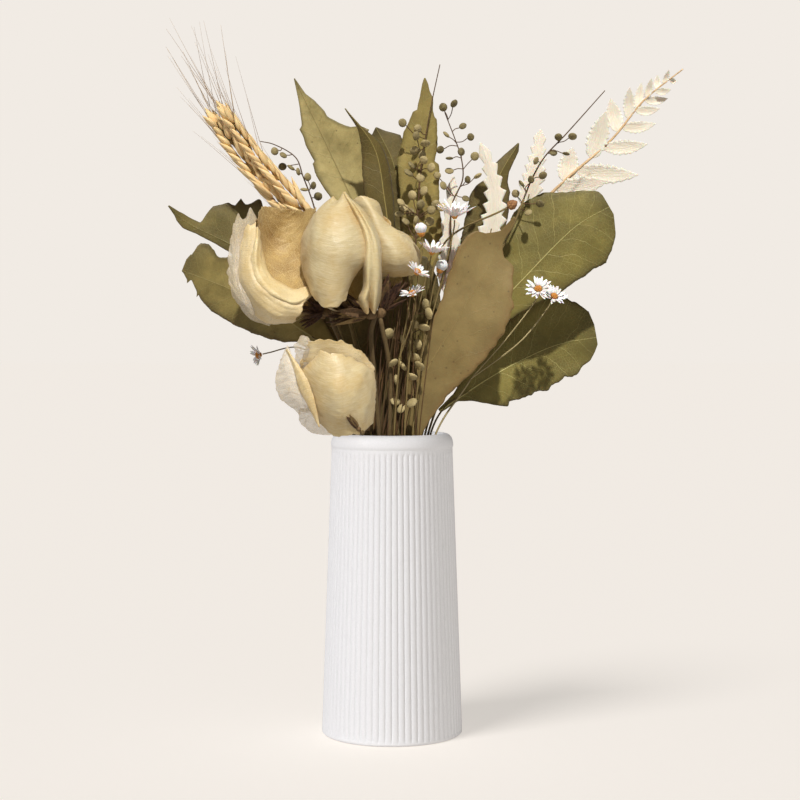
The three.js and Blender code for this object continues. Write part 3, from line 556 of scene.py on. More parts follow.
def finish(tree, colour, roughness, height, depth, strength=0.6, **sockets):
    """Feeds colour, roughness and height (as a bump of the given depth in metres) to a shader."""
    bump = tree.add("Bump", Strength=strength, Distance=depth, Height=height)
    sockets |= {"Base_Color": colour, "Roughness": roughness, "Normal": bump}
    shader = tree.add("BsdfPrincipled", **sockets)
    tree.node("OutputMaterial", Surface=shader)

# %% [markdown]
# ## Leaf finish
#
# Preserved leaves are olive to brown and never of one shade. They fade in broad patches, dry out
# brown along the edges, show paler veins, and carry small dark spots. One function mixes all of
# that, and each leaf names its own shades and how strongly its veins show.

# %% Leaf finish
SPOT_BROWN = (66, 46, 26)


def leaf_finish(
    name, light, dark, vein, dry, contrast=0.7, vein_share=0.35, midrib_share=0.5, net_share=0.2,
    spacing=1.2, slope=0.9, width=0.022, spots=0.3,
):
    """Two shades mixed by two mottlings, a dry shade in patches and along the edges, veins and net
    in their own shade, weaker towards the edge, and spots."""
    material, tree, place, flat, tone = start(name)
    broad = tree.times(mottled(tree, place, 26.0, 0.42, 0.6), 0.65)
    broad = tree.plus(broad, tree.times(mottled(tree, place, 85.0, 0.4, 0.62), 0.35))
    fine = mottled(tree, place, 240.0, 0.3, 0.75)
    colour = tree.mix(tree.times(broad, contrast), light, dark)
    colour = tree.mix(tree.times(fine, 0.2), colour, dark)
    dried = tree.times(mottled(tree, place, 62.0, 0.52, 0.76), 0.4)
    dried = tree.plus(dried, tree.times(tree.step(tone, 0.72, 1.02), 0.75), clamp=True)
    colour = tree.mix(dried, colour, dry)

    side_veins, midrib, net = tree.group(
        VEINS, Flat=flat, Spacing=spacing, Slope=slope, Width=width, Net_scale=4.5, Wander=0.7
    )
    clear = mottled(tree, place, 55.0, 0.3, 0.6)
    colour = tree.mix(tree.times(tree.times(net, net_share), clear), colour, vein)
    fade = tree.math("SUBTRACT", 1.0, tree.times(tone, 0.5))
    fade = tree.times(fade, tree.math("MULTIPLY_ADD", clear, 0.6, 0.4))
    lines = tree.times(tree.times(side_veins, fade), vein_share)
    lines = tree.math("MAXIMUM", lines, tree.times(midrib, midrib_share))
    colour = tree.mix(lines, colour, vein)
    spot = tree.times(speckled(tree, place, 420.0, 0.35, 0.05), spots)
    colour = tree.mix(spot, colour, SPOT_BROWN)

    height = tree.plus(tree.times(side_veins, 0.5), tree.times(net, 0.2))
    height = tree.plus(tree.plus(height, midrib), tree.times(fine, 0.35))
    finish(
        tree, colour, tree.plus(0.5, tree.times(fine, 0.2)), height, 0.0003, Specular_IOR_Level=0.35,
        Sheen_Weight=0.05, Subsurface_Weight=0.04, Subsurface_Scale=0.002,
    )
    return material


# %% Leaf colours
OLIVE_PALE = leaf_finish(
    "pale_olive_leaf", (172, 156, 100), (120, 107, 60), (98, 86, 44), (84, 76, 38), contrast=0.95,
    slope=1.1, spacing=1.6, spots=0.5, width=0.03,
)
OLIVE = leaf_finish(
    "olive_leaf", (156, 138, 73), (114, 99, 48), (172, 158, 92), (98, 86, 39), contrast=0.85
)
OLIVE_GREY = leaf_finish(
    "grey_olive_leaf", (142, 127, 72), (100, 88, 44), (172, 158, 100), (76, 66, 32), contrast=0.85,
    spacing=1.7,
)
OLIVE_DEEP = leaf_finish(
    "deep_olive_leaf", (120, 107, 56), (84, 74, 35), (150, 138, 81), (70, 60, 28), contrast=0.8
)
OLIVE_VEINED = leaf_finish(
    "olive_leaf_veined", (127, 116, 56), (88, 79, 34), (206, 196, 127), (80, 72, 32), vein_share=0.6,
    midrib_share=0.9, net_share=0.16, spacing=1.5, slope=1.0, width=0.018,
)
# The dark leaf colour is real on the folded and lobed leaves. On the two leaves behind the stems it is
# painted shade.
DARK = leaf_finish(
    "dark_leaf", (104, 90, 44), (68, 58, 26), (150, 138, 81), (60, 50, 23), midrib_share=0.7
)
BROWN = leaf_finish(
    "brown_leaf", (95, 81, 33), (70, 58, 24), (156, 140, 78), (66, 54, 22), midrib_share=0.8
)
TAN = leaf_finish(
    "tan_leaf", (134, 115, 69), (108, 90, 51), (158, 137, 84), (116, 92, 51), contrast=0.8,
    net_share=0.08, spacing=2.1, slope=1.9, spots=0.5,
)
print("leaf finishes:", [each.name for each in bpy.data.materials])

# %% [markdown]
# ## Fibrous finishes
#
# Straw, twigs, stalks and bleached leaves all show fine lines along them. The flat map gives the
# direction, so one noise stretched along it serves them all. The tone of each part pulls its colour
# towards a third shade, so that no two hairs or glumes look alike.

# %% Fibrous finishes
def fibre_finish(name, light, dark, tip, fineness=14.0, roughness=0.6, depth=0.0002, **constants):
    """Two shades in fine lines along the part, with its tone pulling towards a third shade."""
    material, tree, place, flat, tone = start(name)
    lines = tree.group(FIBRES, Flat=flat, Fineness=fineness, Stretch=0.08)[0]
    broad = mottled(tree, place, 90.0, 0.35, 0.65)
    share = tree.plus(tree.times(lines, 0.55), tree.times(broad, 0.35))
    colour = tree.mix(share, light, dark)
    colour = tree.mix(tree.times(tone, 0.75), colour, tip)
    finish(tree, colour, tree.plus(roughness, tree.times(lines, 0.15)), lines, depth, **constants)
    return material


BLEACHED = fibre_finish(
    "bleached_leaf", (232, 219, 202), (208, 193, 170), (234, 224, 210), depth=0.0003,
    Subsurface_Weight=0.2, Subsurface_Scale=0.003,
)
RACHIS_TAN = fibre_finish(
    "tan_rachis", (222, 190, 146), (196, 160, 116), (214, 186, 140), fineness=40.0
)
STRAW = fibre_finish(
    "straw", (248, 220, 164), (222, 188, 132), (176, 138, 84), fineness=26.0, roughness=0.5,
    Subsurface_Weight=0.08, Subsurface_Scale=0.002,
)
AWN = fibre_finish("awn", (204, 176, 136), (168, 138, 100), (132, 98, 66), roughness=0.5)
STALK = fibre_finish("stalk", (142, 126, 74), (98, 82, 44), (118, 76, 46), fineness=50.0)
PALE_STALK = fibre_finish(
    "pale_stalk", (188, 172, 126), (146, 130, 84), (132, 112, 70), fineness=50.0
)
# The very dark stalk colour is painted shade for the stems low in the bunch.
SHADE_DARK_STALK = fibre_finish("shade_dark_stalk", (96, 79, 36), (54, 42, 20), (104, 64, 36), fineness=50.0)
HAIRY_STALK = fibre_finish(
    "hairy_stalk", (118, 97, 56), (76, 59, 34), (94, 74, 42), fineness=70.0, depth=0.0004
)
RED_STALK = fibre_finish("red_stalk", (118, 84, 44), (80, 56, 28), (64, 44, 26), fineness=50.0)
LEAF_STALK = fibre_finish("leaf_stalk", (124, 104, 58), (84, 68, 36), (104, 84, 48), fineness=40.0)
print(len(bpy.data.materials), "materials")

# %% [markdown]
# ## Husk petals
#
# The petals are dry skins that glow a little where light soaks through them. They have fine creases,
# a faint net of veins and grey pores. Real holes between the veins could be cut in the mesh, but on
# the thinnest skins an alpha that follows the net does it: the veins stay solid, and the skin
# between them lets some light through.

# %% Husk petals
CREASE_AND_HIGHLIGHT_CREAM, PORE_GREY = (250, 236, 204), (118, 104, 84)


def petal_finish(
    name, light, dark, vein, alpha=None, net_share=0.35, crease_share=0.2, pores=0.0, roughness=0.3
):
    """Two shades, older towards the edges, with fine creases in a paler cream that is partly streaks
    and partly a painted highlight, a net and small grey pores. Where alpha is given, the skin between
    the veins has that alpha."""
    material, tree, place, flat, tone = start(name)
    lines = tree.group(FIBRES, Flat=flat, Fineness=1.4, Stretch=8.0)[0]
    broad = mottled(tree, place, 42.0, 0.38, 0.66)
    side_veins, _, net = tree.group(
        VEINS, Flat=flat, Spacing=0.7, Slope=0.5, Width=0.012, Net_scale=7.0, Wander=0.9
    )
    aged = tree.times(tree.step(tone, 0.7, 1.0), 0.4)
    colour = tree.mix(tree.plus(tree.times(broad, 0.8), aged, clamp=True), light, dark)
    # Paler cream along the creases: partly streaks in the skin, partly a painted highlight where the
    # creases catch the light.
    colour = tree.mix(tree.times(lines, crease_share), colour, CREASE_AND_HIGHLIGHT_CREAM)
    net = tree.math("MAXIMUM", tree.times(net, 0.8), side_veins)
    colour = tree.mix(tree.times(net, net_share), colour, vein)
    worn = mottled(tree, place, 70.0, 0.5, 0.62)
    pore = tree.times(speckled(tree, place, 900.0, 0.45, 0.5), worn)
    colour = tree.mix(tree.times(pore, pores), colour, PORE_GREY)

    rough = tree.plus(roughness, tree.times(broad, 0.2))
    height = tree.plus(tree.times(lines, 3.5 * crease_share), tree.times(net, 0.4))
    skin = {}
    if alpha is not None:
        skin["Alpha"] = tree.plus(alpha, tree.times(net, 1 - alpha), clamp=True)
    finish(
        tree, colour, rough, height, 0.00022, Subsurface_Weight=0.35, Subsurface_Scale=0.004,
        Subsurface_Radius=(1.0, 0.8, 0.5), Specular_IOR_Level=0.45, Sheen_Weight=0.08, **skin,
    )
    return material


HUSK = petal_finish("husk", (212, 189, 140), (196, 160, 98), (178, 146, 88), net_share=0.16)
LIP_HUSK = petal_finish("lip_husk", (226, 202, 150), (208, 174, 112), (180, 146, 88), net_share=0.5)
PALE_HUSK = petal_finish(
    "pale_husk", (234, 206, 152), (214, 178, 114), (186, 152, 96), net_share=0.45, pores=0.4
)
# Ochre is the real colour of the left bloom's inside. On the petal behind the front bloom's keel it is
# painted shade for the hollow there.
OCHRE_AND_SHADE_HUSK = petal_finish(
    "ochre_and_shade_husk", (180, 145, 84), (138, 104, 54), (220, 196, 138), net_share=0.8, crease_share=0.04,
    pores=0.3, roughness=0.55,
)
THIN_HUSK = petal_finish(
    "thin_husk", (246, 232, 206), (236, 216, 178), (184, 154, 108), alpha=0.4, net_share=0.8,
    pores=0.45,
)

# %% [markdown]
# ## Grainy finishes
#
# The rest is grainy at a small scale: the hairy calyx, the pods, the white rays, the orange discs,
# and the matte glaze of the vase. A fine noise and small specks serve them all, with strong colours
# on the plants and hardly any on the ceramic.

# %% Grainy finishes: calyx, pods, rays, discs, ceramic
def speckled_finish(
    name, light, dark, tip, scale=500.0, roughness=0.6, depth=0.0003, bump=0.6, **constants
):
    """Two shades in small grains, with each part's own tone pulling towards a third shade."""
    material, tree, place, _, tone = start(name)
    grain = mottled(tree, place, scale, 0.35, 0.65)
    spot = speckled(tree, place, scale * 1.6, 0.4, 0.3)
    colour = tree.mix(tone, tree.mix(grain, light, dark), tip)
    colour = tree.mix(tree.times(spot, 0.25), colour, dark)
    rough = tree.plus(roughness, tree.times(grain, 0.15))
    finish(tree, colour, rough, tree.plus(grain, spot), depth, bump, **constants)
    return material


CALYX = speckled_finish("calyx", (88, 56, 36), (46, 27, 20), (176, 146, 88), roughness=0.7)
POD = speckled_finish("pod", (118, 106, 62), (84, 72, 40), (178, 160, 112), Sheen_Weight=0.08)
RAY = speckled_finish(
    "white_ray", (232, 227, 225), (214, 205, 202), (236, 231, 233), roughness=0.5, depth=0.0001,
    Subsurface_Weight=0.2, Subsurface_Scale=0.002,
)
DISC = speckled_finish("daisy_disc", (222, 162, 72), (190, 120, 46), (200, 134, 60), scale=900.0)
BUD = speckled_finish("bud_scales", (172, 124, 72), (124, 86, 50), (152, 104, 66), scale=400.0)
CERAMIC = speckled_finish(
    "ceramic", (229, 228, 230), (225, 224, 226), (230, 229, 231), scale=900.0, roughness=0.45,
    depth=0.00003, bump=0.25, Specular_IOR_Level=0.35,
)
print(len(bpy.data.materials), "materials")

# %% [markdown]
# ## The vase
#
# White matte ceramic: a slightly tapered pot with 68 upright half-round ribs that end under a
# smooth rounded rim. A cylinder with a bevelled array of rods would need its joins cleaned, so the
# ribs are part of the surface's own formula. It is one surface, carried from the middle of the foot,
# up the ribbed outside, over the rim and down the inside to the floor, so the wall has its real
# thickness.

# %% Vase sizes, as radius and height
FOOT_PROFILE = np.array([[3, 0], [44.5, 0], [46.2, 0], [46.9, 0.7]])
BASE_RADIUS, SHOULDER_RADIUS, SHOULDER_HEIGHT = 47.0, 40.3, 191.0
RIM_PROFILE = np.array([  # over the rim and down the inside
    [40.75, 191.2], [40.8, 192.5], [40.7, 194.0], [40.3, 195.8], [39.6, 197.4], [38.5, 198.7],
    [37.2, 199.5], [35.8, 199.9], [34.6, 199.8], [33.5, 199.1], [32.8, 198.0], [32.4, 196.5],
    [32.1, 194], [32.1, 190], [33.2, 186], [34.3, 182], [35.2, 160], [37.4, 90], [40.2, 9],
    [39.0, 7.3], [30, 7], [4, 7],
])
RIB_COUNT, RIB_DEPTH, COLUMNS_PER_RIB = 68, 0.95, 12
RIB_START, RIB_TOP, RIB_TOP_DROP = 1.6, 190.2, 2.6  # where ribs start and end, and their round tops
print(f"a rib is {2 * np.pi * SHOULDER_RADIUS / RIB_COUNT:.1f} mm wide at the shoulder")


# %% Vase surface
def vase_surface():
    """Rings of points. The outside radius falls in a straight line with height, less the rib depth
    times 1 - (1 - |s|^2.4)^0.6, where s runs from -1 to 1 across each rib. The ribs rise from
    nothing over 2 mm at the foot, and their tops drop by the cube of |s|."""
    columns = RIB_COUNT * COLUMNS_PER_RIB
    angle = np.arange(columns) / columns * 2 * np.pi
    across = np.abs(2 * np.mod(angle * RIB_COUNT / (2 * np.pi), 1) - 1)
    groove = 1 - np.maximum(1 - across**2.4, 0) ** 0.6
    side = [[1.6, 2.6, 3.6], np.linspace(8, 180, 24), np.linspace(183, 190.6, 12)]
    height = np.concatenate([FOOT_PROFILE[:, 1], *side])
    radius = BASE_RADIUS + (SHOULDER_RADIUS - BASE_RADIUS) * height / SHOULDER_HEIGHT
    radius[: len(FOOT_PROFILE)] = FOOT_PROFILE[:, 0]
    foot = np.clip((height - RIB_START) / 2.0, 0, 1)
    top_edge = RIB_TOP - RIB_TOP_DROP * across[None, :] ** 3
    crown = np.clip((top_edge - height[:, None]) / 1.4, 0, 1)
    outside = radius[:, None] - RIB_DEPTH * foot[:, None] * crown * groove[None, :]
    inside = np.repeat(RIM_PROFILE[:, :1], columns, axis=1)
    radius = np.vstack([outside, inside])
    height = np.concatenate([height, RIM_PROFILE[:, 1]])[:, None]
    rings = together(radius * np.cos(angle), radius * np.sin(angle), height)
    return ringed(rings, together(angle * 4.4, height / 10), 0.0)


vase = piece("vase_ribbed", [(vase_surface(), CERAMIC)], ["vase"])

# %% [markdown]
# ## Leaves
#
# A leaf is a sheet about a midrib. A flat outline with a cloth simulation would sag like fabric, and
# a dried leaf is stiff, so its folds are given instead. Each row of its grid crosses the midrib at
# one place: the row's width comes from the outline, the sheet folds back at the midrib or curls at
# the edges, and a little noise makes the edges wave. The stalk goes on down through the neck.

# %% Widths of a blade
TOWARDS_VIEWER = (0, -1, 0)


def side_widths(outline, shares, length, lobes, seed):
    """The widths left and right of the midrib. Rows of (share, left, right) are joined by straight
    lines. Lobes (count, depth) scallop them by depth * (|sin(pi * count * s)| - 0.6), less where
    the blade is narrow, and a noise along the edge makes them ragged."""
    table = np.asarray(outline, float)
    left, right = (np.interp(shares, table[:, 0], table[:, k]) for k in (1, 2))
    count, depth = lobes
    scallop = depth * (np.abs(np.sin(np.pi * count * shares)) - 0.6)
    ragged = 0.022 * ripple(together(shares * length, 0), 9, seed)
    left = left * (1 + scallop * np.minimum(1, left / 8) + ragged)
    right = right * (1 + np.roll(scallop, 3) * np.minimum(1, right / 8) - ragged)
    return left, right, table[:, 1:].max()


# %% Blade
def blade(
    rib, outline, centre=None, fold=(0, 0), cup=0, rows=110, columns=31, lobes=(0, 0.0), wave=1.0,
    seed=1, thickness=0.5, wrinkle=0.0,
):
    """A sheet: the point at share s of the midrib and signed distance d from it is
    middle(s) + across * d * cos(fold) + out * lift, where out faces the viewer and the lift is
    cup * (d / widest)^2 - |d| * sin(fold). With a centre, the row is an arc of 0.9 times the
    distance to it instead. Waves grow towards the edges, wrinkles are everywhere, and a low ridge
    follows the midrib. The tone is the distance as a share of the width, or the squared share of
    the length where that is more."""
    shares = np.linspace(0, 1, rows)
    middle, along, length = curve(rib, shares)
    left, right, widest = side_widths(outline, shares, length, lobes, seed)
    u = np.linspace(-1, 1, columns)
    u = np.sign(u) * np.abs(u) ** 1.15
    distance = np.where(u < 0, left[:, None], right[:, None]) * np.abs(u)[None, :]
    front = np.broadcast_to(TOWARDS_VIEWER, middle.shape) if centre is None else centre - middle
    across = unit(np.cross(along, front))
    out = unit(np.cross(across, along))
    bend = np.radians(np.where(u < 0, fold[0], fold[1]))[None, :]
    sideways = distance * np.cos(bend)
    lift = cup * (distance / widest) ** 2 - distance * np.sin(bend)
    if centre is not None:
        radius = 0.9 * np.linalg.norm(front, axis=1)[:, None]
        sideways = radius * np.sin(distance / radius)
        lift = radius * (1 - np.cos(distance / radius))
    sign = np.sign(u)[None, :]
    flat = together(sign * distance, (shares * length)[:, None])
    lift = lift + wave * ripple(flat, 55, seed + 7, 2) * np.minimum(1, distance / 14)
    lift = lift + wrinkle * ripple(flat * [1.0, 0.45], 7, seed + 11, 3)
    lift = lift + 0.3 * np.exp(-((distance / 0.7) ** 2)) * (1 - shares[:, None])
    sideways = (sign * sideways)[..., None]
    grid = middle[:, None] + sideways * across[:, None] + lift[..., None] * out[:, None]
    return shell(grid, thickness, flat / 10, np.maximum(np.abs(u)[None, :], shares[:, None] ** 2))


# %% Stalks through the neck
NECK_HEIGHT, FOOT_SPREAD, FOOT_HEIGHT = 190.0, 1.15, 7.6
LEAF_STALK_RADIUS = 1.15


def through_neck(neck):
    """The foot of a stem on the vase's floor and its place in the neck."""
    x, y = neck
    return [[x * FOOT_SPREAD, y * FOOT_SPREAD, FOOT_HEIGHT], [x, y, NECK_HEIGHT]]


def stem(points, radius, sides=8, steps=60, taper=0.0, tone=0.2):
    """A tube along a smooth curve through the points, thinner by the taper at its end."""
    shares = np.linspace(0, 1, steps)
    path, _, _ = curve(points, shares)
    return tube(path, radius * (1 - taper * shares), sides, tone)


def leaf(name, slot, finish_of_blade, neck, rib, outline, **shape):
    """A blade with its stalk as one piece. The shape holds what else the blade is given."""
    root, _, _ = curve(rib, [0.03, 0.2])
    stalk = stem([*through_neck(neck), *root], LEAF_STALK_RADIUS, taper=0.5)
    sheet = blade(rib, outline, **shape)
    return piece(f"{name}_fine", [(sheet, finish_of_blade), (stalk, LEAF_STALK)], [name])


# %% Upper leaves, with outlines of (share of the midrib, width left of it, width right of it)
leaf(
    "leaf_upper_left", "olive_leaf", OLIVE_PALE, [-10, 19],
    [[-9, 24, 315], [-32, 30, 368], [-67, 36, 441]],
    [
        [0, 1.5, 1.5], [0.08, 4, 9], [0.19, 8.5, 15], [0.3, 10.5, 18], [0.39, 13, 20],
        [0.47, 14.7, 21], [0.54, 15.3, 23], [0.58, 14.6, 26], [0.586, 12.5, 26], [0.605, 12.4, 31],
        [0.64, 12.6, 27], [0.66, 12.7, 20.5], [0.71, 12.3, 13.4], [0.75, 12.1, 9.6],
        [0.763, 12, 8.9], [0.77, 9.8, 8.9], [0.79, 8.6, 8.8], [0.857, 5.4, 6], [0.907, 3.5, 2.4],
        [1, 0.4, 0.4],
    ],
    cup=4, rows=160, seed=2,
)
leaf(
    "leaf_folded_front", "olive_leaf", BROWN, [-6, 4],
    [[0, 0, 314], [-5, 2, 356], [-12, 4, 390], [-31, -4, 415]],
    [
        [0, 1.2, 1.2], [0.1, 6, 5], [0.25, 11.8, 9], [0.43, 13.2, 12], [0.6, 12, 12],
        [0.72, 8.6, 10], [0.8, 5, 4], [0.86, 2, 1.4], [0.93, 1.1, 0.8], [1, 0.4, 0.4],
    ],
    fold=(8, 58), seed=3,
)
leaf(
    "leaf_folded_back", "dark_leaf", DARK, [-2, 13],
    [[8, 19, 315], [5, 21, 360], [0, 22, 384], [-11, 23, 406]],
    [
        [0, 1.2, 1.2], [0.16, 4, 4], [0.35, 6.5, 6.5], [0.55, 8.5, 8.5], [0.75, 10, 11],
        [0.87, 9, 12.5], [0.95, 7, 4.5], [1, 0.5, 0.5],
    ],
    fold=(10, 10), seed=4,
)
leaf(
    "leaf_upper_middle", "olive_leaf", OLIVE, [4, 6],
    [[13, 9, 310], [16, 12, 356], [19, 13, 397], [22, 15, 438]],
    [
        [0, 5, 14], [0.08, 7, 21], [0.2, 8, 20], [0.33, 9.6, 16], [0.45, 12.4, 15],
        [0.54, 14.4, 14], [0.556, 14.2, 13.8], [0.57, 14, 11.1], [0.64, 12.9, 11.6],
        [0.7, 11.9, 11.5], [0.76, 9, 10.5], [0.79, 7.6, 10.2], [0.8, 7.2, 8.5], [0.82, 6.3, 7.8],
        [0.832, 3.6, 7.1], [0.87, 3.2, 6.8], [0.9, 2.5, 6.4], [0.935, 2, 3.9], [0.97, 1.5, 2.6],
        [1, 0.5, 0.5],
    ],
    fold=(6, 6), rows=150, seed=5,
)
leaf(
    "leaf_lobed_right", "dark_leaf", DARK, [14, 14],
    [[65, 20, 311], [68, 24, 344], [72, 26, 371], [86, 28, 396]],
    [
        [0, 4, 3], [0.08, 16, 5], [0.18, 21, 8], [0.3, 19.5, 10], [0.44, 18.5, 11],
        [0.53, 17.5, 10.8], [0.61, 14, 10.6], [0.69, 5.5, 7], [0.78, 6.6, 5], [0.88, 4, 3.8],
        [0.95, 2, 3], [1, 0.5, 0.5],
    ],
    fold=(16, 16), seed=6,
)

# %% Right-hand leaves
leaf(
    "leaf_round_right", "olive_leaf", OLIVE_VEINED, [22, 7],
    [[58, 5, 272], [83, 4, 298], [123, 4, 338], [145, 5, 351]],
    [
        [0, 1.5, 1.5], [0.06, 5, 8.5], [0.16, 12, 13], [0.3, 23.7, 17], [0.46, 29.6, 24.5],
        [0.6, 34.5, 28], [0.66, 36, 29.1], [0.762, 31, 31], [0.8, 26.3, 31.5], [0.875, 19.6, 28.5],
        [0.9, 18.4, 26.4], [0.96, 14.5, 18.7], [0.99, 12.5, 9], [1, 9, 6],
    ],
    cup=-4, lobes=(6, 0.03), seed=7,
)
leaf(
    "leaf_wavy_right", "olive_leaf", OLIVE_VEINED, [24, 14],
    [[32, 18, 214], [73, 30, 240], [114, 39, 259], [141, 41, 264]],
    [
        [0, 1.5, 1.5], [0.118, 4.4, 1.5], [0.19, 8.5, 7.2], [0.286, 14, 17.7], [0.348, 16.5, 22.8],
        [0.36, 17, 22.8], [0.376, 17.5, 21], [0.43, 19.5, 22.6], [0.476, 22, 24.2],
        [0.516, 24, 24.4], [0.54, 25.5, 23.6], [0.612, 29.5, 26.9], [0.65, 31, 25],
        [0.707, 33, 24.4], [0.76, 34.5, 22.6], [0.82, 35.5, 24], [0.85, 35, 23.4],
        [0.867, 31, 22.4], [0.892, 27, 19.3], [0.917, 25.3, 17.6], [0.95, 22, 15],
        [0.98, 18.2, 9.7], [1, 9, 5],
    ],
    cup=-2, rows=150, seed=8,
)
leaf(
    "leaf_broad_front", "tan_leaf", TAN, [11, -9],
    [[11, -9, 188], [21, -14, 237], [41, -18, 272], [58, -18, 301], [71, -17, 324], [80, -22, 342]],
    [
        [0, 3, 4], [0.09, 4, 7.5], [0.15, 8.5, 11.5], [0.22, 7.7, 17], [0.3, 9.5, 21.5],
        [0.38, 12, 25.5], [0.5, 14, 29.3], [0.587, 15.7, 30.4], [0.66, 19, 29], [0.7, 20.5, 27.8],
        [0.725, 21.5, 23.2], [0.76, 22.4, 21.5], [0.8, 23, 17.2], [0.825, 23, 15],
        [0.836, 22.5, 13.6], [0.846, 22, 6], [0.87, 20, 2.5], [0.886, 18.3, 1.2], [0.893, 12.3, 1],
        [0.91, 8, 0.6], [0.93, 4, 1.2], [0.96, 2.6, 2.2], [1, 0.6, 0.6],
    ],
    cup=3, rows=170, seed=9,
)

# %% Left-hand leaves
leaf(
    "leaf_left_upper", "olive_leaf", OLIVE_DEEP, [-25, 6],
    [[-51, 14, 289], [-87, 16, 315], [-118, 16, 331], [-138, 14, 341], [-150, 10, 352]],
    [
        [0, 1.5, 1.5], [0.17, 8, 14], [0.35, 9.3, 22], [0.42, 8, 24], [0.445, 7.5, 28],
        [0.465, 7.2, 29], [0.48, 6.8, 25.5], [0.5, 6.2, 25.8], [0.515, 6, 33], [0.54, 5.6, 36],
        [0.56, 5.2, 35.6], [0.584, 5, 31.3], [0.61, 4.7, 29.5], [0.65, 4.4, 31.4],
        [0.662, 4.3, 24.7], [0.7, 4.2, 24.5], [0.739, 3.9, 20.6], [0.765, 3.7, 18.5],
        [0.779, 3.6, 13], [0.789, 3.6, 4.5], [0.86, 4.6, 4], [0.91, 3.4, 3.2], [0.937, 1.9, 2.2],
        [1, 0.5, 0.5],
    ],
    fold=(0, 8), rows=170, seed=10,
)
leaf(
    "leaf_left_lower", "olive_leaf", OLIVE_GREY, [-24, -4],
    [[-34, 2, 250], [-68, 4, 274], [-104, 2, 294], [-139, -6, 308]],
    [
        [0, 1.5, 1.5], [0.1, 7.5, 8], [0.253, 9, 16], [0.306, 13.4, 18], [0.383, 17, 20],
        [0.494, 19.7, 22.5], [0.604, 20.7, 23.5], [0.702, 19.7, 23], [0.769, 18.6, 21.7],
        [0.785, 17.6, 20], [0.8, 16.7, 18.6], [0.835, 14.5, 17.1], [0.852, 13.5, 17.5],
        [0.868, 11.6, 19.4], [0.875, 13.8, 20], [0.882, 10, 20.4], [0.91, 6.5, 23.1],
        [0.935, 3.5, 22], [0.95, 7.1, 21.2], [0.957, 4.5, 20.9], [0.972, 3, 18.1], [0.978, 2.2, 12],
        [0.985, 1.5, 13], [1, 0.5, 8],
    ],
    fold=(6, 6), rows=160, seed=11,
)

# %% Two dark leaves behind the stems, as painted shade that fills the gaps there
# These two leaves are painted shade: dark sheets that fill the shaded gaps behind the stems and above
# the rim.
leaf(
    "leaf_shaded_left", "dark_leaf", DARK, [-12, 10], [[-9, 7, 193], [-20, 7, 250], [-35, 7, 305]],
    [
        [0, 10, 10], [0.15, 12, 12], [0.35, 15, 15], [0.55, 17, 17], [0.75, 19, 18], [0.9, 14, 14],
        [1, 3, 3],
    ],
    seed=12,
)
leaf(
    "leaf_shaded_middle", "dark_leaf", DARK, [3, -1], [[3, -1, 192], [7, -1, 250], [19, -0.5, 318]],
    [
        [0, 12, 14], [0.15, 15, 16], [0.45, 17, 18], [0.65, 18, 22], [0.78, 18, 19], [0.9, 14, 14],
        [1, 4, 4],
    ],
    seed=13,
)

# %% [markdown]
# ## Bleached leaves and fern
#
# Three leaves and one fern frond are bleached to cream. Their edges are cut into teeth that point
# towards the tip. A mask with transparency could cut them, but the rim would be as flat as paper.
# So the outline itself climbs slowly along each tooth and drops at its end.

# %% Toothed outlines
FIRST_TOOTH, TOOTHED_SHARE = 0.1, 0.82  # shares of the midrib


def toothed(teeth, width, waist):
    """An outline with one step out and in a tooth: the waist times the reach at its start, and the
    whole reach 0.62 of the way on. The reach falls towards the tip by 0.65 t^1.5."""
    passed = np.arange(teeth) / teeth
    share = FIRST_TOOTH + TOOTHED_SHARE * passed
    reach = width * (1 - 0.65 * passed**1.5)
    inner = together(share, reach * waist, reach * waist)
    outer = together(share + 0.62 / teeth, reach, reach)
    rows = np.stack([inner, outer], axis=1).reshape(-1, 3)
    return np.vstack([[[0, 1.2, 1.2]], rows, [[1, 0.5, 0.5]]])


BLEACHED_LEAVES = {  # place in the neck, midrib, and teeth, width and waist
    "middle": ([15, 4], [[63, 6, 322], [69, 8, 352], [66, 9, 376], [59, 9, 394]], (7, 9.5, 0.58)),
    "narrow": ([10, 8.5], [[37.5, 5, 290], [38.6, 6, 316], [38.9, 7, 339], [41, 9, 372]], (6, 8.5, 0.7)),
    "right": ([18, 12], [[90, 22, 350], [97, 24, 378], [101, 26, 405]], (7, 9.5, 0.62)),
}
for name, (neck, rib, cut) in BLEACHED_LEAVES.items():
    leaf(
        f"bleached_leaf_{name}", "bleached_leaf", BLEACHED, neck, rib, toothed(*cut), fold=(6, 6),
        rows=90, columns=13, wave=0.6, seed=20,
    )

# %% Fern frond
RACHIS = [[92, 34, 346], [118.5, 36, 371.7], [150.8, 38, 400], [173, 39, 426.8], [199.5, 39, 448]]
LEAFLETS = np.array([  # root and tip, each as (x, z), and width; seven below the rachis first
    [113, 363.5, 147.4, 371.1, 13], [126.7, 376.6, 169.4, 375.5, 13],
    [146.3, 393.1, 174.9, 396.2, 10], [157.7, 408.2, 181.5, 411, 8],
    [166, 419.3, 183.2, 420.6, 6.5], [172.9, 426.2, 189.4, 428.2, 6],
    [179.8, 433.7, 190.8, 433.7, 5], [117.1, 371.7, 124, 394.5, 14],
    [136.4, 386.2, 146.3, 418.6, 14], [153.6, 405.5, 150.1, 428.2, 11],
    [160.5, 414.4, 162.5, 435.1, 8], [168.7, 421.3, 171.5, 439.2, 6.5],
    [174.2, 428.2, 177.7, 441.3, 5], [179.8, 435.1, 182.5, 444.5, 5], [185, 438.5, 189.5, 447, 4],
    [190, 442, 196, 440.5, 4],
])


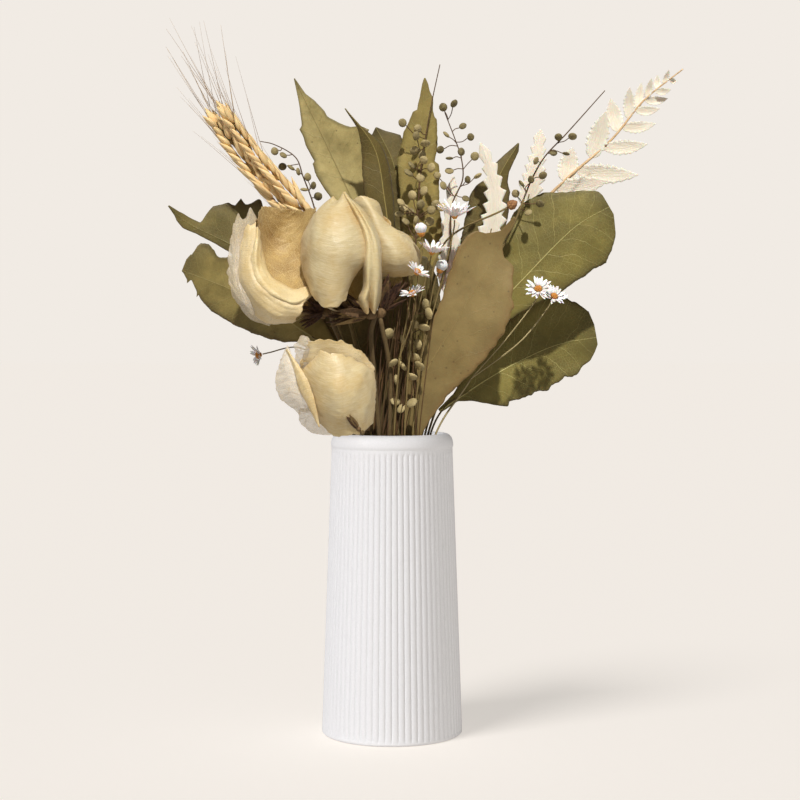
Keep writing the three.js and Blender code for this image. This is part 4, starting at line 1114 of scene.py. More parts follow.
def leaflet(root, tip, width, seed):
    """A pointed leaflet: half its width times sin(pi s^0.75)^0.8, cut into small teeth."""
    share = np.linspace(0, 1, 40)
    teeth = 1.05 - 0.26 * np.mod(share * 8 + 0.3, 1) * (share > 0.12)
    half = np.maximum(width * 0.56 * np.sin(np.pi * share**0.75) ** 0.8 * teeth, 0.25)
    middle = (root + tip) / 2 + [0, 1.5, -1.0]
    outline = together(share, half, half)
    return blade(
        [root, middle, tip], outline, rows=70, columns=9, cup=1.5, wave=0.5, seed=seed, thickness=0.35
    )


def frond():
    """Leaflets in two rows, each from the nearest point of the rachis, and the rachis."""
    path, _, _ = curve(RACHIS, np.linspace(0, 1, 80))
    parts = []
    for index, (root_x, root_z, tip_x, tip_z, width) in enumerate(LEAFLETS):
        nearest = np.argmin(np.hypot(path[:, 0] - root_x, path[:, 2] - root_z))
        tip = np.array([tip_x, path[nearest, 1] + (2.5 if index % 2 else -2.5), tip_z])
        parts.append(leaflet(path[nearest], tip, width, index))
    return joined(parts), tube(path, np.linspace(1.2, 0.45, 80), 8, 0.0)


leaflets, rachis = frond()
fern_stalk = stem([*through_neck([15, 21]), [45, 30, 275], RACHIS[0], [97, 34.4, 351]], 1.15)
piece(
    "fern_frond_right_fine", [(leaflets, BLEACHED), (rachis, RACHIS_TAN), (fern_stalk, STRAW)],
    ["fern_frond_right"],
)

# %% [markdown]
# ## Wheat ears
#
# A bearded ear is a rachis with plump pointed glumes in four rows, and long bristles, the awns. A
# particle system would place them at random, and a real ear is regular. So the glumes stand at even
# steps, each turned a little by a seeded draw. They overlap like shingles and lean outwards, so
# that the two ears lie against each other.

# %% Grain and awn shapes
def hair(steps, bend, radius, taper):
    """A three-sided hair of length 1 along +Z that leans by bend times s^2 and thins by the taper."""
    share = np.linspace(0, 1, steps)
    path = together(bend * share**2, 0, share)
    return tube(path, radius * (1 - taper * share), 3)


GLUME = turned(
    [(0.05, 0), (0.6, 0.08), (0.96, 0.26), (1.0, 0.42), (0.8, 0.62), (0.4, 0.82), (0.02, 1)], 10, 0.62
)
AWN_SHAPE = hair(9, 0.05, 0.0038, 0.75)
print("faces of one glume:", 2 * len(GLUME["quads"]) + len(GLUME["triangles"]))

# %% Glumes
EAR_LEVELS, EAR_SPAN, HALF_STEP = 12, 0.84, 0.035  # the last two in shares of the ear
GLUME_LENGTH, GLUME_WIDTH, GLUME_LEAN = 17, 3.0, 0.32


def glumes(ear, random):
    """Glumes on four sides of the rachis, alternate sides half a step apart, and one on its tip.
    Each points along the ear plus a share outwards, and shrinks as 1 - 0.3 s^1.5."""
    share = np.repeat(np.linspace(0.0, EAR_SPAN, EAR_LEVELS), 4)
    side = np.tile(np.arange(4), EAR_LEVELS)
    share = share + HALF_STEP * (side % 2)
    place, along, _ = curve(ear, share)
    across = unit(np.cross(along, TOWARDS_VIEWER))
    front = unit(np.cross(across, along))
    count = len(side)
    angle = side * np.pi / 2 + np.pi / 4 + random.normal(0, 0.28, count)
    out = around(angle, across, front)
    taper = 1 - 0.3 * share**1.5
    lean = GLUME_LEAN + random.normal(0, 0.09, count)
    direction = unit(along + lean[:, None] * out)
    root = place + out * 2.3 * taper[:, None]
    tall = (GLUME_LENGTH + random.normal(0, 1.6, count)) * taper
    wide = (GLUME_WIDTH + random.normal(0, 0.3, count)) * taper
    sizes = together(wide, wide, tall)
    tones = random.uniform(0, 0.35, count)
    grains = scatter(GLUME, root, direction, sizes, random.uniform(-0.4, 0.4, count), tones, out)
    tips, ends, _ = curve(ear, [0.9])
    crown = scatter(GLUME, tips, ends, (2.8, 2.8, 13.5), 0.4, 0.2)
    return joined([grains, crown]), root, along, out, direction


# %% Awns
def long_awns(ear, count, random):
    """Awns that leave the upper part of the ear and fan upwards, away from it by up to half of its
    side direction. None reaches further than the box of the solid model."""
    at = random.uniform(0.35, 0.98, count)
    start_at, ahead, _ = curve(ear, at)
    sideways = unit(np.cross(ahead, TOWARDS_VIEWER))
    fan = np.linspace(-0.02, 0.52, count) + random.normal(0, 0.05, count)
    spread = ahead + fan[:, None] * sideways + random.normal(0, 0.06, (count, 1)) * [0, 1, 0]
    spread = unit(spread)
    start_at = start_at + spread * 6 + sideways * (9 * fan - 3)[:, None]
    reach = random.uniform(42, 84, count)
    left_end, top_end = cad_box[0][0] / MM + 1, cad_box[1][2] / MM - 1
    reach = np.minimum(reach, (start_at[:, 0] - left_end) / np.maximum(-spread[:, 0], 0.01))
    reach = np.minimum(reach, (top_end - start_at[:, 2]) / np.maximum(spread[:, 2], 0.01)) * 0.95
    thick = random.uniform(50, 80, count)
    sizes = together(thick, thick, reach)
    spins = random.choice([1.2, 1.8, 4.3], count)
    return scatter(AWN_SHAPE, start_at, spread, sizes, spins, random.uniform(0, 0.9, count))


def short_awns(root, along, out, direction, random):
    """Short awns that lie along the lower glumes."""
    low = random.choice(len(root) - 6, 34, replace=False)
    reach = random.uniform(20, 46, len(low))
    start_at = root[low] + 2.6 * out[low] + 5 * along[low]
    ahead = unit(direction[low] + 1.6 * along[low])
    sizes = together(reach * 1.2, 52, reach)
    spins = random.uniform(0, 6.28, len(low))
    return scatter(AWN_SHAPE, start_at, ahead, sizes, spins, random.uniform(0, 0.6, len(low)))


# %% The two ears
EAR = np.array([[-57, 0, 341], [-90, -2, 379], [-117, -6, 415]], float)
WHEAT_EARS = {  # place in the neck, offset from the shared curve, count of long awns, seed
    "left": ([-18, -6], [-4.2, 0, -3.0], 15, 3),
    "right": ([-11, -9], [3.2, -3.6, 1.6], 13, 7),
}
for name, (neck, offset, awn_count, seed) in WHEAT_EARS.items():
    random = np.random.default_rng(seed)
    ear = EAR + offset
    grains, *stand = glumes(ear, random)
    awns = joined([long_awns(ear, awn_count, random), short_awns(*stand, random)])
    top = curve(ear, [EAR_SPAN + HALF_STEP])[0][0]
    straw = stem([*through_neck(neck), ear[0], top], 1.2)
    piece(
        f"wheat_ear_{name}_fine", [(grains, STRAW), (awns, AWN), (straw, STALK)],
        [f"wheat_ear_{name}"],
    )

# %% [markdown]
# ## Papery husk blooms
#
# Each bloom is a few paper-thin skins round a hollow, on a tuft of long hairy sepals. Cloth that
# falls over a form gives round folds, and these skins are crisp and hold themselves up. So the
# skins that face the viewer are drawn through nets of points, the way a pattern is pinned on a
# stand: a dome with a free lower lip and a folded keel, a bowl with a rolled lip, and veils with a
# net of veins. The skins behind them are petals whose rows are arcs round the middle of the bloom.

# %% Smooth curves along an axis
def smoothed(values, count):
    """Values along the first axis as a uniform Catmull-Rom curve, read at even steps."""
    values = np.asarray(values, float)
    padded = np.concatenate([2 * values[:1] - values[1:2], values, 2 * values[-1:] - values[-2:-1]])
    at = np.linspace(0, len(values) - 1, count)
    first = np.minimum(at.astype(int), len(values) - 2)
    t = (at - first).reshape(-1, *[1] * (values.ndim - 1))
    p0, p1, p2, p3 = (padded[first + k] for k in range(4))
    cubic = 3 * (p1 - p2) + p3 - p0
    return p1 + 0.5 * t * (p2 - p0 + t * (2 * p0 - 5 * p1 + 4 * p2 - p3 + t * cubic))


# %% Sheets through a net of points
def draped(
    net, seed, rows=90, columns=70, wave=0.5, crumple=0.1, ragged=0.8, thickness=0.3, grain=(0.4, 1.0)
):
    """A sheet through a net of points: smooth curves along the net's columns, then along its rows.
    Soft waves and fine creases move it along its normal, creases longer where the grain is small,
    and its border moves in and out by ragged times a noise."""
    grid = smoothed(smoothed(net, rows).swapaxes(0, 1), columns).swapaxes(0, 1)
    along = np.linalg.norm(np.diff(grid, axis=0, prepend=grid[:1]), axis=2).cumsum(axis=0)
    across = np.linalg.norm(np.diff(grid, axis=1, prepend=grid[:, :1]), axis=2).cumsum(axis=1)
    across = across - across[:, columns // 2, None]
    flat = together(across, along)
    down, side = np.gradient(grid, axis=(0, 1))
    normal = unit(np.cross(side, down))
    u, v = (np.abs(np.linspace(-1, 1, count)) for count in (columns, rows))
    edge = np.maximum(u[None, :], v[:, None])
    outwards = unit(grid - grid.mean(axis=(0, 1)))
    outwards = unit(outwards - normal * (outwards * normal).sum(axis=-1, keepdims=True))
    lift = wave * ripple(grid, 24, seed, 2) + crumple * ripple(flat * grain, 4, seed + 5, 3)
    shift = ragged * ripple(grid, 7, seed + 9, 3) * edge**10
    grid = grid + lift[..., None] * normal + shift[..., None] * outwards
    return shell(grid, thickness, flat / 10, edge)


# %% Outlines of the petals behind
PETAL_OUTLINES = {
    "full": [
        [0, 3, 3], [0.16, 11, 11], [0.36, 19, 19], [0.58, 23, 23], [0.78, 19, 19], [0.92, 10, 10],
        [1, 1, 1],
    ],
    "narrow": [[0, 2.5, 2.5], [0.2, 9, 9], [0.45, 15, 15], [0.7, 15, 15], [0.88, 9, 9], [1, 1, 1]],
}


# %% Small sheets, hairs and the cup
def small_sheet(share, half, curl, rise, thickness, tone=0.5):
    """A sheet of length 1 along +Z. With u from -1 to 1 across it, x is u times half the width, and
    y is curl times half the width times u squared, plus the rise."""
    u = np.linspace(-1, 1, 5)
    x = half[:, None] * u
    y = curl * half[:, None] * u**2 + rise[:, None]
    z = share[:, None]
    return shell(together(x, y, z), thickness, together(x, z), tone)


def sepal_shape():
    """A sepal: half its width is 0.11 sin(pi s^0.7)^0.8, and its tip bends outwards."""
    share = np.linspace(0, 1, 12)
    half = 0.11 * np.maximum(np.sin(np.pi * share**0.7), 0) ** 0.8 + 0.006
    tone = np.array([1, 0.5, 0, 0.5, 1]) * 0.3 + 0.5 * (1 - share[:, None])
    return small_sheet(share, half, 0.5, 0.12 * share**2, 0.02, tone)


SEPAL, BRISTLE = sepal_shape(), hair(6, 0.1, 0.012, 0.9)
CUP = turned([(0.4, -6), (1.6, -5), (2.6, -3), (3.0, -1), (2.6, 0.6), (1.2, 1.0)], 16)
print("points of a sepal and of a hair:", len(SEPAL["points"]), len(BRISTLE["points"]))

# %% A tuft of sepals and hairs
HAIRS_PER_SEPAL = 9


def tuft(root, axis, opening, reach, count, cup=1.0, seed=0):
    """Sepals and hairs that leave the root within a cone round the axis. The opening is the cone's
    half angle in degrees. The angle from the axis is it times the square root of a draw up to 1."""
    random = np.random.default_rng(seed)
    axis = unit(axis)
    first = unit(np.cross(axis, [0.2, 0.1, 1.0]))
    second = np.cross(axis, first)

    def cone(number, narrowest):
        turn = random.uniform(0, 2 * np.pi, number)
        angle = np.radians(opening) * np.sqrt(random.uniform(narrowest, 1, number))
        out = around(turn, first, second)
        return out, unit(around(angle, axis, out))

    root = np.asarray(root, float)
    out, direction = cone(count, 0.35)
    length = reach * random.uniform(0.75, 1.0, count)
    sepals = scatter(
        SEPAL, root + 1.2 * out, direction, length[:, None], random.normal(0, 0.3, count),
        0.7 * random.uniform(0, 1, count) ** 3, out,
    )
    hairs = HAIRS_PER_SEPAL * count
    out, direction = cone(hairs, 0.0)
    start_at = root + 1.6 * out + direction * (random.uniform(0, 0.55, hairs) * reach)[:, None]
    length = reach * random.uniform(0.25, 0.5, hairs)
    bristles = scatter(
        BRISTLE, start_at, direction + 0.35 * out, length[:, None], random.uniform(0, 6.28, hairs),
        random.uniform(0, 1, hairs) ** 3,
    )
    return joined([sepals, bristles, scatter(CUP, root, axis, cup, tones=0.25)])


# %% A whole bloom
CALYX_STALK_RADIUS = 1.5


def husk(name, neck, via, tufts, nets, petals, centre, base, seed):
    """The sheets as one piece, and the sepals with their stalk as another. Nets hold (material, net,
    shape), petals hold (outline, material, midrib above the base), and tufts hold (root, axis,
    opening, reach, count, cup). Via are the stalk's points between the neck and the first tuft."""
    sheets = {}
    for index, (used, net, shape) in enumerate(nets):
        sheets.setdefault(used, []).append(draped(net, seed + index, **shape))
    for index, (kind, used, rib) in enumerate(petals):
        sheet = blade(
            [base, *rib], PETAL_OUTLINES[kind], centre=centre, rows=64, columns=41, wave=0.8,
            wrinkle=0.12, seed=seed + 5 + index, thickness=0.35,
        )
        sheets.setdefault(used, []).append(sheet)
    groups = [(joined(parts), material) for material, parts in sheets.items()]
    piece(f"{name}_petals_fine", groups, [f"{name}_petals"])
    hairy = [tuft(*values, seed=seed + 20 + index) for index, values in enumerate(tufts)]
    root, axis = np.asarray(tufts[0][0], float), unit(tufts[0][1])
    stalk = stem([*through_neck(neck), *via, root - 5 * axis], CALYX_STALK_RADIUS)
    groups = [(joined(hairy), CALYX), (stalk, HAIRY_STALK)]
    piece(f"{name}_calyx_fine", groups, [f"{name}_calyx"])


# %% The left bloom: nets of a bowl on its side, open to the upper right
LEFT_BOWL = [  # from the upper left round the bottom; across, from behind to the lip
    [[-93, -46, 338], [-91, -50, 335], [-89, -51, 334], [-86, -51, 336]],
    [[-98, -47, 324], [-94, -54, 321], [-90, -58, 320], [-86, -59, 320]],
    [[-99, -49, 310], [-95, -58, 307], [-90, -63, 307], [-86, -63, 307]],
    [[-97, -51, 294], [-91, -62, 295], [-85, -67, 295], [-80, -67, 296]],
    [[-89, -56, 281], [-82, -66, 284], [-76, -69, 288], [-71, -69, 290]],
    [[-78, -60, 272], [-72, -68, 276], [-66, -70, 282], [-62, -68, 285]],
    [[-62, -58, 272], [-59, -65, 276], [-56, -66, 280], [-54, -64, 287]],
]
LEFT_VEIL = [  # a thin sheet outside the bowl, with three points at the top
    [[-98, -46, 343], [-94, -49, 337], [-90, -50, 344], [-86, -48, 339]],
    [[-103, -46, 328], [-99, -49, 327], [-94, -50, 325], [-90, -50, 326]],
    [[-104.5, -48, 311], [-100, -52, 310], [-95, -53, 309], [-90, -54, 309]],
    [[-102, -50, 293], [-97, -56, 293], [-91, -58, 295], [-86, -60, 296]],
    [[-93, -50, 278], [-88, -58, 280], [-82, -61, 284], [-76, -62, 288]],
    [[-78, -50, 270], [-74, -60, 274], [-70, -64, 279], [-66, -64, 283]],
]
LEFT_LIP = [  # a rolled edge; across, from the outside over the roll to the inside
    [[-88, -48, 332], [-85, -50, 333], [-83, -47, 330]],
    [[-89, -57, 320], [-85, -60, 320], [-81, -54, 319]],
    [[-89, -61, 308], [-85, -64, 307], [-80, -57, 309]],
    [[-83, -65, 294], [-79, -68, 296], [-75, -60, 301]],
    [[-74, -67, 287], [-71, -70, 290], [-68, -61, 297]],
    [[-64, -66, 283], [-62, -69, 286], [-61, -60, 294]],
    [[-55, -61, 285], [-54, -64, 288], [-54, -56, 295]],
    [[-49, -53, 291], [-49, -56, 294], [-51, -49, 299]],
]
LEFT_INSIDE = [  # the ochre back of the bowl, from the bottom up
    [[-82, -60, 297], [-73, -64, 290], [-64, -64, 287], [-56, -61, 289], [-51, -53, 294]],
    [[-86, -50, 309], [-78, -44, 305], [-68, -42, 303], [-59, -42, 303], [-50, -46, 308]],
    [[-87, -44, 321], [-80, -32, 321], [-70, -27, 321], [-60, -29, 322], [-51, -40, 323]],
    [[-86, -40, 334], [-80, -29, 335], [-70, -23, 336], [-60, -25, 337], [-50, -35, 336]],
    [[-85, -37, 346], [-79, -29, 347], [-70, -25, 348], [-60, -25, 346], [-49, -33, 347]],
]

# %% The left bloom
husk(
    "husk_left", [-14.5, -24], [[-23.5, -25, 238], [-38, -28, 272]],
    [
        ([-44, -38, 280], [-1, -0.25, 0.15], 42, 19, 22),
        ([-47, -36, 280], [-0.6, -0.3, 0.7], 40, 12, 10),
    ],
    [
        (PALE_HUSK, LEFT_BOWL, {"wave": 0.7, "grain": (1.0, 0.4)}),
        (THIN_HUSK, LEFT_VEIL, {"wave": 0.8, "crumple": 0.2, "ragged": 1.2, "grain": (1.0, 0.4)}),
        (LIP_HUSK, LEFT_LIP, {
            "wave": 1.0, "crumple": 0.25, "columns": 24, "thickness": 0.4, "grain": (1.0, 0.4),
        }),
        (OCHRE_AND_SHADE_HUSK, LEFT_INSIDE, {"wave": 0.9, "crumple": 0.2, "ragged": 1.6}),
    ],
    [
        ("full", OCHRE_AND_SHADE_HUSK, [[-66, -18, 287], [-84, -18, 306], [-91, -26, 330], [-88, -32, 340]]),
        ("narrow", PALE_HUSK, [[-62, -20, 278], [-80, -22, 284], [-95, -26, 300], [-99, -32, 318]]),
    ],
    [-76, -44, 308], [-52, -27, 281.5], seed=40,
)

# %% The front bloom: nets of a dome with a free lower lip, and of a folded keel at its right
FRONT_DOME = [  # from the lip up to the two points
    [[-54, -52, 297], [-49, -66, 288], [-42, -76, 282], [-35, -77, 282], [-29, -71, 286]],
    [[-57, -50, 307], [-50, -71, 299], [-40, -79, 295], [-31, -77, 294], [-25, -68, 297]],
    [[-58, -50, 319], [-50, -73, 317], [-38, -81, 317], [-26, -79, 316], [-15, -67, 313]],
    [[-56, -50, 330], [-48, -69, 331], [-37, -77, 331], [-26, -75, 330], [-16, -66, 329]],
    [[-49, -50, 342], [-45, -60, 343], [-37, -67, 344], [-29, -66, 344], [-22, -62, 341]],
    [[-39, -50, 351], [-37, -52, 353], [-34, -55, 350], [-31, -57, 354], [-28, -56, 353]],
]
FRONT_KEEL = [  # two ridges with a groove between, from the point down to the two lobes
    [[-31, -56, 355], [-30, -57, 355], [-29, -56, 355], [-28, -57, 353], [-27, -54, 352]],
    [[-24, -64, 341], [-22, -68, 341], [-20, -67, 340], [-18, -68, 340], [-15, -58, 340]],
    [[-18, -66, 324], [-15, -72, 324], [-13, -71, 324], [-10, -71, 324], [-7, -57, 324]],
    [[-18, -64, 309], [-15, -73, 309], [-12, -72, 308], [-8, -70, 308], [-6, -55, 308]],
    [[-18, -62, 296], [-15, -71, 295], [-13, -68, 295], [-9, -69, 295], [-6, -55, 296]],
    [[-21, -62, 287], [-17, -70, 286], [-14, -64, 287], [-10, -67, 286], [-7, -55, 287]],
    [[-18, -58, 280], [-15, -64, 278], [-14, -60, 282], [-11, -63, 278], [-9, -55, 281]],
]

# %% The front bloom
husk(
    "husk_front", [-8, -26], [[-11.5, -38, 240], [-13, -46, 268]],
    [
        ([-15, -51, 278], [-0.95, -0.2, 0.22], 24, 27, 20),
        ([-24, -48, 279], [-0.8, -0.3, 0.4], 30, 18, 12),
    ],
    [
        (HUSK, FRONT_DOME, {"wave": 0.5, "crumple": 0.12, "ragged": 0.6}),
        (HUSK, FRONT_KEEL, {"wave": 0.3, "columns": 40, "thickness": 0.5, "ragged": 0.2}),
    ],
    [
        ("full", HUSK, [
            [-35, -48, 280], [-49, -50, 290], [-55, -51, 308], [-52, -52, 330], [-40, -52, 347],
        ]),
        ("narrow", HUSK, [
            [-12, -44, 292], [-9, -50, 304], [-9, -52, 318], [-15, -53, 336], [-27, -53, 352],
        ]),
        # This darker ochre skin is painted shade: it makes the hollow between the lip and the keel dark
        # brown.
        ("narrow", OCHRE_AND_SHADE_HUSK, [[-24, -36, 290], [-30, -30, 312], [-33, -32, 336], [-34, -42, 350]]),
    ],
    [-32, -52, 316], [-23, -46, 284], seed=50,
)

# %% The middle bloom: a hood behind the keel and a bulb at the right
MIDDLE_FRONT = [  # from the bottom edge up to the hood
    [[-14, -30, 302], [-5, -37, 302], [5, -37, 302], [13, -31, 304], [18, -21, 309]],
    [[-15, -36, 312], [-4, -45, 311], [6, -45, 311], [14, -35, 313], [19, -21, 317]],
    [[-16, -38, 322], [-5, -47, 322], [5, -45, 322], [13, -35, 322], [17, -21, 323]],
    [[-18, -38, 332], [-9, -45, 333], [-1, -41, 333], [6, -33, 331], [11, -20, 330]],
    [[-20, -38, 344], [-14, -42, 346], [-9, -39, 344], [-4, -31, 337], [0, -20, 335]],
    [[-25, -36, 351], [-20, -38, 354], [-14, -37, 353], [-9, -31, 350], [-7, -22, 344]],
]
husk(
    "husk_middle", [-2, -20], [[-1, -24, 240]],
    [([-6, -32, 281], [0.32, 0.05, 1], 23, 25, 24), ([-6, -32, 281], [0.6, 0.2, 1], 40, 18, 8)],
    [(HUSK, MIDDLE_FRONT, {"wave": 0.6, "crumple": 0.08})],
    [
        ("narrow", HUSK, [
            [1, -18, 300], [3, -16, 312], [-2, -17, 324], [-10, -20, 334], [-17, -27, 344],
        ]),
        ("narrow", HUSK, [[-9, -22, 300], [-16, -21, 318], [-17, -22, 338], [-16, -25, 351]]),
    ],
    [-2, -21, 322], [0, -25, 294], seed=60,
)

# %% The low bloom: nets of a dome with see-through veils at its left
LOW_DOME = [  # from the bottom edge up
    [[-46, -56, 209], [-38, -61, 202], [-31, -64, 201],
     [-24, -65, 202], [-18, -61, 203], [-12, -50, 209]],
    [[-51, -58, 219], [-41, -68, 215], [-32, -73, 214],
     [-25, -72, 216], [-17, -65, 217], [-10, -50, 221]],
    [[-55, -60, 231], [-44, -72, 230], [-33, -78, 229],
     [-25, -75, 229], [-17, -66, 230], [-10, -51, 232]],
    [[-56, -62, 241], [-45, -71, 242], [-35, -75, 242],
     [-26, -72, 241], [-17, -64, 241], [-11, -51, 239]],
    [[-50, -63, 250], [-44, -68, 254], [-35, -71, 253],
     [-27, -68, 251], [-19, -62, 247], [-12, -52, 243]],
]
LOW_VEIL_LEFT = [  # from its point down
    [[-67, -56, 256], [-66, -56, 258], [-65, -56, 256]],
    [[-72, -54, 245], [-67, -58, 246], [-60, -60, 247]],
    [[-74, -52, 235], [-65, -59, 236], [-55, -62, 235]],
    [[-71, -50, 225], [-62, -58, 225], [-52, -62, 225]],
    [[-60, -50, 215], [-56, -56, 216], [-49, -60, 216]],
]
LOW_VEIL_UNDER = [  # below that veil
    [[-60, -50, 216], [-55, -56, 219], [-50, -60, 220]],
    [[-57, -48, 208], [-51, -55, 211], [-46, -60, 213]],
    [[-50, -47, 202], [-44, -53, 205], [-40, -59, 208]],
    [[-40, -48, 201], [-37, -53, 202], [-34, -58, 204]],
]
LOW_VEIL_TOP = [  # two points at the top
    [[-60, -57, 243], [-53, -60, 240], [-45, -62, 242]],
    [[-61, -58, 251], [-54, -62, 250], [-44, -64, 250]],
    [[-61, -60, 258], [-55, -64, 258], [-46, -65, 256]],
    [[-58, -61, 264], [-54, -64, 264], [-49, -65, 260]],
]
LOW_BACK = [  # the skin behind the dome's upper edge
    [[-57, -56, 236], [-46, -60, 236], [-30, -58, 236], [-11, -50, 236]],
    [[-57, -60, 248], [-46, -64, 250], [-28, -62, 249], [-11, -52, 244]],
    [[-52, -66, 261], [-43, -68, 262], [-30, -65, 260], [-17, -56, 253]],
]
LOW_KEEL = [  # a narrow ridge between the veil and the dome, from its point down
    [[-67, -57, 255], [-66, -58, 256], [-65.5, -57, 255]],
    [[-62.5, -59.5, 246], [-60.5, -61.5, 246], [-58, -61, 245]],
    [[-60, -61.5, 237], [-56.5, -64, 237], [-53, -64.5, 237]],
    [[-57, -62.5, 228], [-53, -65.5, 228], [-49.5, -67, 228]],
    [[-52, -63.5, 219], [-50, -66, 219], [-47, -67.5, 219]],
    [[-46, -65, 207], [-45.5, -65.5, 207], [-45, -65, 207]],
]

# %% The low bloom
husk(
    "husk_low", [-17, -17], [[-17, -24, 204], [-18, -46, 206]],
    [
        ([-21.5, -65, 206.5], [-0.62, -0.32, 0.72], 13, 15, 9, 0.55),
        ([-17, -30, 208], [-0.4, -0.3, 0.9], 30, 12, 8),
    ],
    [
        (HUSK, LOW_DOME, {"wave": 0.8, "crumple": 0.06, "ragged": 1.0}),
        (THIN_HUSK, LOW_VEIL_LEFT, {"wave": 0.6, "ragged": 0.6}),
        (THIN_HUSK, LOW_VEIL_UNDER, {"wave": 0.6, "ragged": 0.6}),
        (THIN_HUSK, LOW_VEIL_TOP, {"wave": 0.6, "ragged": 0.8}),
        (PALE_HUSK, LOW_BACK, {"wave": 1.0, "crumple": 0.08, "ragged": 0.8}),
        (PALE_HUSK, LOW_KEEL, {"wave": 0.3, "columns": 16, "thickness": 0.3, "ragged": 0.6}),
    ],
    [("full", HUSK, [[-36, -22, 222], [-44, -20, 238], [-50, -26, 256]])],
    [-42, -43, 234], [-25, -30, 214], seed=70,
)

# %% [markdown]
# ## Sprays of seed pods
#
# A pod is a flat round lens on a thread-like stalk that leaves the main stem a little below it. The
# places of the pods are read one by one, because the eye knows a spray by its outline. The rest
# follows a rule: every thread starts from the nearest stretch of twig. The pods turn to all sides,
# so some show their round face and some their thin edge.

# %% Pods
POD_RADIUS = 2.9
POD_PROFILE = [(0.04, -1), (0.5, -0.88), (0.86, -0.52), (1, 0), (0.86, 0.52), (0.5, 0.88), (0.04, 1.06)]
POD_SHAPE = turned(POD_PROFILE, sides=12, squeeze=0.42)
POD_STAGGER = np.array([0, -3, 3])  # towards the viewer and back, pod by pod
POD_TURNS = np.array([0, 0.6, -0.5, 1.3])  # radians about the thread, pod by pod
THREAD_RADIUS = 0.32


def pod_spray(name, neck, main, depth, pods, seed, darkness=2.0, size=1.0, turning=1.0):
    """A twig with pods. Pod i is joined to the twig between the two nodes below the nearest one.
    Its tone is a draw from 0 to 1 to the power of the darkness. With less turning, more of the
    pods show their round face."""
    random = np.random.default_rng(seed)
    nodes, _, _ = curve(main, np.linspace(0, 1, 11))
    count = len(pods)
    order = np.arange(count)
    centres = np.array([[x, depth + POD_STAGGER[i % 3], z] for i, (x, z) in enumerate(pods)], float)
    nearest = np.argmin(np.linalg.norm(nodes[None] - centres[:, None], axis=2), axis=1)
    below = np.maximum(nearest - 1, 0)
    share = (0.3 + 0.1 * (order % 5))[:, None]
    foot = nodes[below] * (1 - share) + nodes[below + 1] * share
    along = unit(centres - foot)
    ends = centres - 0.9 * size * POD_RADIUS * along
    bow = np.cross(along, [0, -1, 0]) * random.normal(0, 1.0, count)[:, None]
    middles = (foot + ends) / 2 + bow
    threads = [stem(points, THREAD_RADIUS, 5, 8, tone=0.5) for points in zip(foot, middles, ends)]
    sizes = size * POD_RADIUS * random.uniform(0.86, 1.04, count)[:, None]
    spins = turning * POD_TURNS[order % 4] + random.normal(0, 0.15, count)
    tones = random.uniform(0, 0.9, count) ** darkness
    lenses = scatter(POD_SHAPE, centres, along, sizes, spins, tones)
    twig = tube(curve(main, np.linspace(0, 1, 60))[0], np.linspace(0.6, 0.3, 60), 6, 0.6)
    stalk = stem([*through_neck(neck), main[0], nodes[1]], 0.7, 6)
    groups = [(lenses, POD), (joined([*threads, twig]), RED_STALK), (stalk, STALK)]
    piece(f"{name}_fine", groups, [name])


# %% Five sprays: twig, depth, and pods as (x, z)
pod_spray(
    "pod_spray_middle", [8, 4],
    [[39, 1, 325], [40, 1, 352], [47, 1, 369], [46, 1, 383], [42, 1, 395], [35, 1, 413]], -2,
    [
        [33.9, 416], [41, 418], [47, 404], [36, 398], [52, 396], [46, 387], [32, 388], [38, 382],
        [55, 384], [38, 374], [50, 368], [57, 371], [30, 371], [34, 364], [49, 356],
    ],
    seed=81,
)
pod_spray(
    "pod_spray_right", [20, 0],
    [[84, -1, 346], [92, -2, 367], [101, -2, 383], [115, -2, 398], [141, -2, 427]], -5,
    [
        [110, 396], [119, 396], [107, 386], [115, 385], [95, 380], [100, 371], [92, 368],
        [85.5, 365], [82, 359], [98, 352], [90, 346],
    ],
    seed=82,
)
pod_spray(
    "pod_spray_left", [-21, 9],
    [[-46, 20, 325], [-54, 20, 356], [-60, 18, 372], [-65, 18, 385], [-80, 18, 394], [-89, 18, 396]], 15,
    [
        [-79, 389], [-73, 386], [-74, 379], [-68, 378], [-63, 375], [-57, 372], [-53, 366],
        [-59, 363], [-50, 359],
    ],
    seed=83,
)
pod_spray(
    "pod_spray_upper", [3, -8],
    [[14, -3, 310], [17, 0, 345], [19, 4, 375], [22, 6, 395], [27, 8, 423], [32, 9, 446]], 0,
    [
        [7, 406], [16, 397], [20, 385], [13, 378], [26, 376], [19, 370], [21, 361], [6, 353],
        [12, 347], [19, 352], [26, 348], [9, 341], [17, 402], [22, 392], [15, 388], [11, 373],
        [21, 381], [8, 350], [13.5, 358], [16, 341], [25, 341], [29, 352], [33, 350], [5, 346],
    ],
    seed=84, darkness=0.8, size=1.12, turning=0.7,
)
pod_spray(
    "pod_spray_low", [4, -15],
    [[6, -14, 225], [9, -13.5, 255], [14.5, -12.3, 280], [19, -12.3, 298]], -25,
    [
        [15, 272], [7, 262], [11, 252], [7, 245], [3, 236], [2, 222], [22, 285], [21, 270],
        [15, 250], [18, 245], [13, 221], [6, 217], [-2, 266], [24, 279], [17, 259], [13, 238],
        [1, 247],
    ],
    seed=85, darkness=0.3, size=1.35, turning=0.5,
)

# %% [markdown]
# ## Everlasting daisies
#
# A small head: a rough orange disc, and two rows of stiff white pointed rays. A picture of a daisy on
# a disc would look flat from the side. Each ray is a little boat, so the rows are one ray shape
# scattered round the disc, the inner row shorter and steeper. Two of the nine heads are closed.

# %% Shapes of rays, florets and the disc under them
DISC_RADIUS = 2.4
RAY_ROWS = [(14, 1.0, 0.0), (11, 0.84, 0.3)]  # count, length and steepness: outer row, inner row


